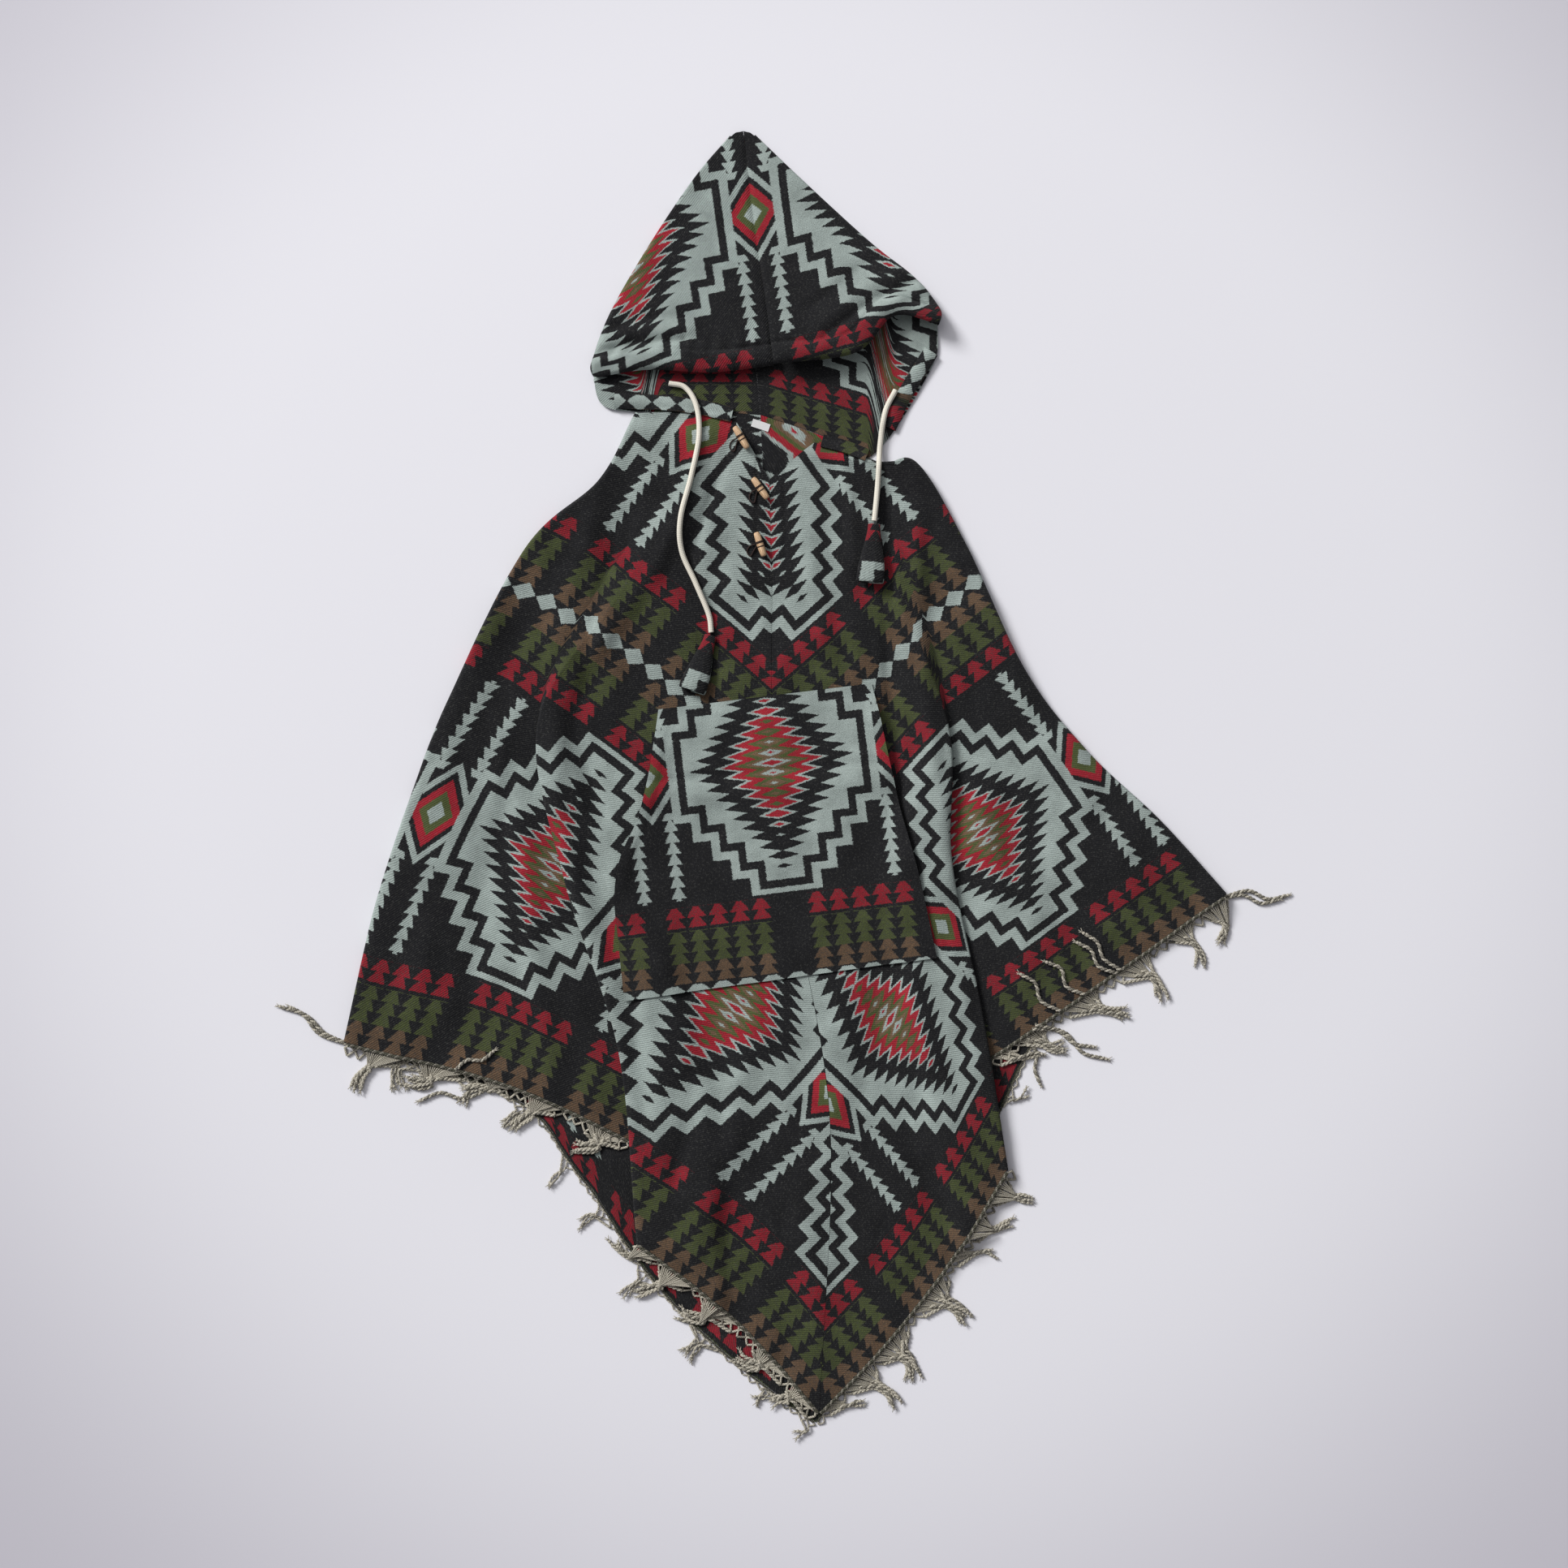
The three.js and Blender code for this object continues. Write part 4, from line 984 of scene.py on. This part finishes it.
def tube(points, radius, sides):
    """The corners and faces of a tube along points, with the places round and along it."""
    points = np.array(points, float)
    across, up = square_frames(points)
    radii = np.broadcast_to(radius, (len(points),))
    angles = 2 * math.pi * np.arange(sides) / sides
    ring = across[:, None] * np.cos(angles)[None, :, None] + up[:, None] * np.sin(angles)[None, :, None]
    corners = points[:, None] + ring * radii[:, None, None]
    faces = [
        (i * sides + k, i * sides + (k + 1) % sides, (i + 1) * sides + (k + 1) % sides, (i + 1) * sides + k)
        for i in range(len(points) - 1)
        for k in range(sides)
    ]
    faces += [tuple(range(sides))[::-1], tuple((len(points) - 1) * sides + k for k in range(sides))]
    ran = run_along(points)
    places = np.dstack([np.repeat(ran[:, None], sides, 1), np.repeat(angles[None, :], len(points), 0)])
    return corners.reshape(-1, 3), faces, places.reshape(-1, 2)


def threads_mesh(name, tubes, materials):
    """One object from many tubes: each comes with the number of its material."""
    vertices, faces, places, finishes = [], [], [], []
    for (corners, sides, spots), finish in tubes:
        first = len(vertices)
        vertices += (corners / 1000).tolist()
        faces += [tuple(first + i for i in face) for face in sides]
        places += spots.tolist()
        finishes += [finish] * len(sides)
    mesh = bpy.data.meshes.new(name)
    mesh.from_pydata(vertices, [], faces)
    mesh.polygons.foreach_set("material_index", finishes)
    mesh.polygons.foreach_set("use_smooth", [True] * len(faces))
    kept = mesh.attributes.new("yarn_place", "FLOAT_VECTOR", "POINT")
    kept.data.foreach_set("vector", np.column_stack([np.array(places), np.zeros(len(places))]).ravel())
    for material in materials:
        mesh.materials.append(material)
    piece = bpy.data.objects.new(name, mesh)
    bpy.context.collection.objects.link(piece)
    bpy.ops.object.select_all(action="DESELECT")
    bpy.context.view_layer.objects.active = piece
    piece.select_set(True)
    bpy.ops.object.mode_set(mode="EDIT")
    bpy.ops.mesh.select_all(action="SELECT")
    bpy.ops.mesh.normals_make_consistent(inside=False)
    bpy.ops.object.mode_set(mode="OBJECT")
    return piece


def wound(tree, places, along, turns):
    """Strands wound round a yarn: 1 on their crests and -1 between them."""
    slant = maths(tree, "MULTIPLY", places[1], turns)
    return maths(tree, "SINE", maths(tree, "MULTIPLY_ADD", places[0], along, slant))


def yarn_material(name, dark, pale, scale=1.0):
    """Spun yarn: strands that wind round it, painted lighter on their crests and darker between them as
    painted shade, loose hairs, and light and dark stretches.
    """
    material, tree, yarn = new_material(name, 0.9)
    strands = wound(tree, attribute(tree, "yarn_place")[1], 2.6 * scale, 2.0)
    where = tree.nodes.new("ShaderNodeTexCoord")
    hairs = texture(tree, "Noise", where.outputs["Object"], Scale=900, Detail=4)
    patchy = maths(tree, "MULTIPLY_ADD", hairs.outputs[0], 1.5, -0.25)
    # Painted shade: the strands' crests are lighter and the grooves between them darker; the hairs add light
    # and dark stretches of tone
    light = maths(tree, "ADD", maths(tree, "MULTIPLY", strands, 0.28), patchy, clamp=True)
    tree.links.new(painted(tree, light, dark, pale), yarn.inputs["Base Color"])
    raised(tree, yarn, light, 0.6, 0.0006)
    yarn.inputs["Specular IOR Level"].default_value = 0.25
    return material


wood, tree, shader = new_material("pale_turned_wood", 0.5)
stretched = tree.nodes.new("ShaderNodeMapping")
stretched.inputs["Scale"].default_value = (0.9, 0.9, 0.07)
tree.links.new(attribute(tree, "turned_place")[0], stretched.inputs["Vector"])
grain = texture(tree, "Noise", stretched.outputs[0], Scale=1.6, Detail=6, Roughness=0.65)
bands = tree.nodes.new("ShaderNodeValToRGB")
bands.color_ramp.elements[0].position = 0.34
bands.color_ramp.elements[0].color = linear(150, 112, 80)
bands.color_ramp.elements[1].position = 0.62
bands.color_ramp.elements[1].color = linear(222, 190, 152)
tree.links.new(grain.outputs[0], bands.inputs[0])
tree.links.new(bands.outputs[0], shader.inputs["Base Color"])
raised(tree, shader, grain.outputs[0], 0.25, 0.0004)

dark_thread = yarn_material("dark_waxed_thread", linear(24, 20, 20), linear(66, 50, 46), scale=2.0)
hood_linings = [grid[:, HOOD_UNDER:] for grid in hood_grids]
dressed_tree = surface_tree(left_grid, right_grid, pocket_grid, *strip_grids, *hood_linings)
thread_tubes = []
for toggle in TOGGLES:
    start, end = np.array(toggle["start"], float), np.array(toggle["end"], float)
    middle = (start + end) / 2
    low = max(height_on(dressed_tree, *spot, 6) for spot in (start, end, middle))
    level = low + 0.3 + TOGGLE_DIAMETER / 2
    rings = [(max(radius, 0.02) * TOGGLE_DIAMETER, z * TOGGLE_LENGTH) for radius, z in TOGGLE_RINGS]
    piece = turned(toggle["name"] + "_wood", rings, 28)
    lay_down(piece, (*start, level), (*end, level))
    piece.data.materials.append(wood)
    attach(piece, "root")
    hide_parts(toggle["name"])
    axis = (end - start) / np.linalg.norm(end - start)
    square = np.array([-axis[1], axis[0]])
    for shift in THREAD_TURNS:
        ring = []
        for k in range(25):
            angle = 2 * math.pi * k / 24
            plan = middle + axis * (shift + 0.5 * math.sin(angle))
            plan = plan + square * THREAD_TURN_RADIUS * math.cos(angle)
            ring.append((*plan, level + THREAD_TURN_RADIUS * math.sin(angle)))
        thread_tubes.append((tube(ring, THREAD_RADIUS, 6), 0))
    through = line_through([middle - square * out + axis * up for out, up in LOOP])
    points = [through(f) for f in np.linspace(0, len(LOOP) - 1, 30)]
    loop = []
    for k, p in enumerate(points):
        from_toggle = min(k, len(points) - 1 - k)
        loop.append((*p, height_on(dressed_tree, *p) + 0.9 + 1.8 * math.exp(-(from_toggle / 3) ** 2)))
    thread_tubes.append((tube(loop, LOOP_RADIUS, 6), 0))
toggle_threads = threads_mesh("toggle_threads", thread_tubes, [dark_thread])
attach(toggle_threads, "root")

# The drawstring of the hood: round braided ecru cord, whose two free ends leave the casing at the
# corners of the mouth and lie on the front. Each ends in a cone rolled from a scrap of the cloth.
CORD_DIAMETER = 6.3
TASSEL_LENGTH = 68.0
CORDS = [
    dict(name="cord_left", tassel="tassel_left", start=(-84, 173), end=(-106, 109),
         line=[(-133, 463), (-114, 458), (-101, 436), (-98, 400), (-107, 353),
               (-119, 306), (-118, 269), (-102, 232), (-87, 196), (-84, 175)]),
    dict(name="cord_right", tassel="tassel_right", start=(104, 301), end=(99, 239),
         line=[(129, 455), (117, 430), (111, 391), (108, 344), (104, 303)]),
]
# Each ring's radius in millimetres, and its height as a share of the length
TASSEL_RINGS = [
    (12.5, -0.49), (13.8, -0.5), (15.0, -0.49), (15.2, -0.44), (14.8, -0.34), (14.0, -0.22), (12.8, -0.1),
    (11.2, 0.04), (9.6, 0.16), (8.2, 0.28), (7.2, 0.39), (6.8, 0.46), (6.6, 0.49), (5.6, 0.5),
]
TASSEL_FLATNESS = 0.48
braid, tree, shader = new_material("braided_ecru_cord", 0.85)
places = attribute(tree, "yarn_place")[1]
both_ways = maths(tree, "MULTIPLY", wound(tree, places, 2.2, 4.0), wound(tree, places, -2.2, 4.0))
crossed = maths(tree, "MULTIPLY_ADD", both_ways, 0.5, 0.5)
# Painted shade: the braid is darker in the hollows between its crossing strands and lighter on their crests
ecru = painted(tree, crossed, linear(196, 190, 174), linear(234, 229, 216))
tree.links.new(ecru, shader.inputs["Base Color"])
raised(tree, shader, crossed, 0.5, 0.0006)

for drawstring in CORDS:
    plan = line_through(drawstring["line"])
    fine = [plan(f) for f in np.linspace(0, len(drawstring["line"]) - 1, 260)]
    heights = np.array([height_on(dressed_tree, *p, 3.0) + 0.3 + CORD_DIAMETER / 2 for p in fine])
    for _ in range(60):
        eased = np.convolve(np.pad(heights, 2, mode="edge"), np.ones(5) / 5, "valid")
        heights = np.maximum(heights, eased) * 0.5 + eased * 0.5
    path = [(*p, z) for p, z in zip(fine, heights)]
    piece = threads_mesh(drawstring["name"] + "_braid", [(tube(path, CORD_DIAMETER / 2, 14), 0)], [braid])
    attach(piece, "root")
    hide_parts(drawstring["name"])

    start, end = np.array(drawstring["start"], float), np.array(drawstring["end"], float)
    direction = (end - start) / np.linalg.norm(end - start)
    start = start + direction * 1.5
    end = start + direction * TASSEL_LENGTH
    foot = (*end, height_on(dressed_tree, *end, 10) + 7.2)
    head = (*start, path[-1][2])
    rings = [(radius, z * TASSEL_LENGTH) for radius, z in TASSEL_RINGS]
    tassel = turned(drawstring["tassel"] + "_cloth", rings, 48, flatness=TASSEL_FLATNESS)
    layer = tassel.data.uv_layers.new(name="weave_place")
    standing = tassel.data.attributes["turned_place"].data
    for loop in tassel.data.loops:
        x, y, z = standing[loop.vertex_index].vector
        around = math.atan2(x, -y) * 8.5
        layer.data[loop.index].uv = ((92 + around) / 1000, (68 + (TASSEL_LENGTH / 2 - z)) / 1000)
    for corner in tassel.data.vertices:
        x, y, z = corner.co
        angle = math.atan2(x, -y)
        wrap = 1 + 0.07 * (1 if 0 < angle < 2.2 else 0) + 0.10 * noise.noise((x / 5, y / 5, z / 14))
        wrap += 0.045 * math.sin(6 * angle + z / 9) * (0.5 - z / TASSEL_LENGTH)
        corner.co.x *= wrap
        corner.co.y *= wrap
    lay_down(tassel, foot, head)
    tassel.data.materials.append(hood_cloth)
    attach(tassel, "root")
    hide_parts(drawstring["tassel"])

# The fringe of the hem: warp ends of ecru and grey yarn, knotted in two rows into a net along a
# dark twisted binding, then plied into strands that lie as they fell, each with a knot at its end.
FRINGE_PITCH = 12.0
STRAND_LENGTH = 62.0
STRAND_RADIUS = 1.7
STRAND_TWIST = 10.5
BINDING_TWIST = 9.0
# The back hem's fringe is thinner and shorter, with wider gaps, because the front lies on it
SHOWN = dict(binding=4.8, plies=(2, 1, 2), depth=14, net=1.4, strand=4.8, length=1.0, skips=(0, 1, 1, 2))
TUCKED = dict(binding=2.6, plies=(2, 2), depth=6, net=0.9, strand=3.0, length=0.6, skips=(2, 3, 4))
# The thin yarns that run from the hem into each strand, as shares of the pitch along the hem
WEB_SHARES = (-0.42, -0.2, 0.06, 0.3)
HEMS = [
    dict(name="fringe_front_left", grid=left_grid, columns=(0, 48), lean=-0.5),
    dict(name="fringe_front_right", grid=right_grid, columns=(0, 48), lean=0.5),
    dict(name="fringe_wing_left", grid=left_grid, columns=(64, 110), lean=-0.8, corner=(-582, -258),
         strays=[((-382, -333), (-336, -309)), ((-340, -352), (-420, -366))]),
    dict(name="fringe_wing_right", grid=right_grid, columns=(64, 110), lean=0.6, corner=(582, -129),
         strays=[((347, -243), (304, -206)), ((389, -215), (347, -173)), ((385, -219), (340, -184)),
                 ((319, -262), (274, -220)), ((290, -278), (372, -318)), ((287, -283), (357, -304)),
                 ((281, -292), (296, -346))]),
    dict(name="fringe_back_left", grid=left_grid, columns=(118, 144), lean=-0.3),
    dict(name="fringe_back_right", grid=right_grid, columns=(118, 144), lean=0.3),
]
ecru_yarn = yarn_material("ecru_fringe_yarn", linear(118, 112, 100), linear(204, 198, 182))
grey_yarn = yarn_material("grey_fringe_yarn", linear(66, 63, 58), linear(150, 145, 132))
binding_yarn = yarn_material("dark_hem_binding", linear(30, 30, 28), linear(96, 94, 80))
hem_tree = surface_tree(left_grid, right_grid)


def plied(points, thickness, pitch, finishes):
    """Two yarns twisted round each other along a path."""
    points = np.array(points, float)
    ran = run_along(points)
    steps = np.arange(0, ran[-1], pitch / 6)
    path = np.stack([np.interp(steps, ran, points[:, axis]) for axis in range(3)], 1)
    if len(path) < 4:
        return []
    across, up = square_frames(path)
    parts = []
    for k, finish in enumerate(finishes):
        angle = 2 * math.pi * (steps / pitch + k / len(finishes))
        offset = across * np.cos(angle)[:, None] + up * np.sin(angle)[:, None] * 0.8
        parts.append((tube(path + offset * thickness * 0.24, thickness * 0.3, 5), finish))
    return parts


def settled(plan, radius, start_height=None):
    """Heights for a strand's plan points: it rests on the cloth or the table below it."""
    heights = np.array([height_on(hem_tree, *p) + radius + 0.2 for p in plan])
    if start_height is not None:
        heights[0] = start_height
    for k in range(1, len(heights)):
        heights[k] = max(heights[k], heights[k - 1] - 1.2)
    for k in range(len(heights) - 2, -1, -1):
        heights[k] = max(heights[k], heights[k + 1] - 1.6)
    return [(*p, z) for p, z in zip(plan, heights)]


def knotted_end(placed, dice):
    """The knot at a strand's end and the loose ends that stick out of it."""
    ahead = np.array(placed[-1]) - np.array(placed[-2])
    ahead[2] = 0
    ahead /= np.linalg.norm(ahead)
    last = np.array(placed[-1])
    ends = [(tube([last - ahead, last + ahead * 1.2, last + ahead * 3], [1.2, 2.2, 1.1], 7), 0)]
    start = last + ahead * 2.4
    for spread in (-0.5, 0.1, 0.6):
        angle = math.atan2(ahead[1], ahead[0]) + spread + dice.uniform(-0.2, 0.2)
        stop = last + ahead * 3 + np.array([math.cos(angle), math.sin(angle), 0]) * dice.uniform(3, 6)
        ends.append((tube([start, (start + stop) / 2 + (0, 0, 0.3), stop], [0.6, 0.5, 0.3], 4), 0))
    return ends


for hem in HEMS:
    dice = random.Random(hem["name"])
    first, last = hem["columns"]
    style = TUCKED if first >= BACK_FROM else SHOWN
    depth = style["depth"]
    edge = hem["grid"][-1, first:last]
    before = hem["grid"][-6, first:last]
    ran = run_along(edge)

    def along_edge(distance):
        """A point of the hem, and the directions out from it and ahead along it."""
        point, behind, beyond = (
            np.array([np.interp(distance + shift, ran, edge[:, axis]) for axis in range(3)])
            for shift in (0, -3, 3)
        )
        ahead = beyond[:2] - behind[:2]
        ahead /= np.linalg.norm(ahead)
        inner = np.array([np.interp(distance, ran, before[:, axis]) for axis in range(2)])
        out = np.array([ahead[1], -ahead[0]])
        return point, out if (point[:2] - inner) @ out > 0 else -out, ahead

    parts = []
    bound = []
    for distance in np.arange(0, ran[-1], 3.0):
        point, out, ahead = along_edge(distance)
        bound.append((*(point[:2] + out * 1.6), max(point[2], 0.5 * style["binding"] + 0.1)))
    parts += plied(bound, style["binding"], BINDING_TWIST, style["plies"])
    # The net: two yarns from each place on the hem meet those of its neighbours at a knot
    count = int((ran[-1] - 10) / FRINGE_PITCH)
    knots = []
    for distance in np.linspace(5, ran[-1] - 5, count + 1):
        point, out, ahead = along_edge(distance)
        tip = point[:2] + out * (depth + dice.uniform(-2.5, 2.5)) + ahead * dice.uniform(-2.5, 2.5)
        covered = height_on(hem_tree, *(point[:2] - out * 2)) > point[2] + 4
        if covered or height_on(hem_tree, *tip) > point[2] + 2:
            continue
        knots.append((tip, out, point, ahead))
        for way in (-0.5, 0.5):
            middle = point[:2] + out * depth * 0.5 + ahead * FRINGE_PITCH * way
            start = point[:2] + out * 1.5 + ahead * 0.5 * way
            for a, b in ((start, middle), (middle, tip)):
                shares = np.linspace(0, 1, 6)
                line = [a + (b - a) * f + ahead * 0.8 * math.sin(math.pi * f) * way for f in shares]
                placed = settled(line, 1.0, point[2] if a is start else None)
                parts.append((tube(placed, style["net"], 5), 0 if dice.random() < 0.85 else 1))
    # The tufts: strands from two to five knots in a row lie side by side along one lane
    k = 0
    while k < len(knots):
        wanted = dice.choice((2, 3, 3, 4, 5))
        tuft = [knots[k]]
        for following in knots[k + 1 : k + wanted]:
            if np.linalg.norm(following[0] - tuft[-1][0]) >= 2 * FRINGE_PITCH:
                break
            tuft.append(following)
        k += len(tuft) + dice.choice(style["skips"])
        tip, out = tuft[len(tuft) // 2][:2]
        turn = hem["lean"] * dice.uniform(0.2, 1.7) + dice.uniform(-0.5, 0.5)
        heading = math.atan2(out[1], out[0]) + turn
        bend = dice.uniform(-1.2, 1.2)
        at_point = 0.62 if tip[1] < -690 else 1.0
        long = (STRAND_LENGTH - depth) * dice.uniform(0.75, 1.0) * at_point * style["length"]
        spot = tip + np.array([math.cos(heading), math.sin(heading)]) * long * 0.22
        lane = []
        for step in range(15):
            heading += bend / 15 + dice.uniform(-0.08, 0.08)
            spot = spot + np.array([math.cos(heading), math.sin(heading)]) * long * 0.78 / 15
            lane.append((spot.copy(), np.array([-math.sin(heading), math.cos(heading)])))
        for n, (root, _, hem_point, ahead) in enumerate(tuft):
            apart = n - (len(tuft) - 1) / 2
            phase = dice.uniform(0, 6)
            reach = dice.randint(10, 15)
            plan = [root]
            for j, (p, across) in enumerate(lane[:reach]):
                fanned = apart * (2.7 + 1.6 * (j / 14) ** 3)
                plan.append(p + across * (fanned + 1.2 * math.sin(j / 2.6 + phase)))
            first_leg = [plan[0] + (plan[1] - plan[0]) * f for f in (0, 0.33, 0.67)]
            placed = [(x, y, z + 1.5 * (n % 2)) for x, y, z in settled(first_leg + plan[1:], STRAND_RADIUS)]
            placed[0] = (*placed[0][:2], placed[0][2] - 1.5 * (n % 2))
            parts += plied(placed, style["strand"], STRAND_TWIST, (0, 1) if n % 3 == 1 else (0, 0))
            parts += knotted_end(placed, dice)
            if style is TUCKED:
                continue
            for share in WEB_SHARES:
                start = hem_point[:2] + ahead * FRINGE_PITCH * share
                line = [start + (plan[3] - start) * f + out * 1.5 * (1 - f) for f in np.linspace(0, 1, 8)]
                parts.append((tube(settled(line, 0.9, hem_point[2]), 0.8, 4), 0))
    # Strays: single strands that fell back over the cloth, and the two at the wing's corner
    strays = list(hem.get("strays", []))
    if "corner" in hem:
        point, out, ahead = along_edge(ran[-1] - 2)
        root, corner = point[:2] + out * 2, np.array(hem["corner"])
        strays.append((root, corner))
        strays.append((root - ahead * 3, corner - ahead * 12 - out * 2))
    for start, end in strays:
        start, end = np.array(start), np.array(end)
        square = np.array([start[1] - end[1], end[0] - start[0]]) / np.linalg.norm(end - start)
        near = start * 0.6 + end * 0.4 + square * dice.uniform(4, 7)
        far = start * 0.3 + end * 0.7 - square * dice.uniform(1, 5)
        curve = line_through([start, near, far, end])
        placed = settled([curve(f) for f in np.linspace(0, 3, 26)], STRAND_RADIUS)
        parts += plied(placed, SHOWN["strand"], 10.0, (0, 1))
        parts += knotted_end(placed, dice)
    fringe = threads_mesh(hem["name"] + "_yarn", parts, [ecru_yarn, grey_yarn, binding_yarn])
    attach(fringe, "root")
    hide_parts(hem["name"])
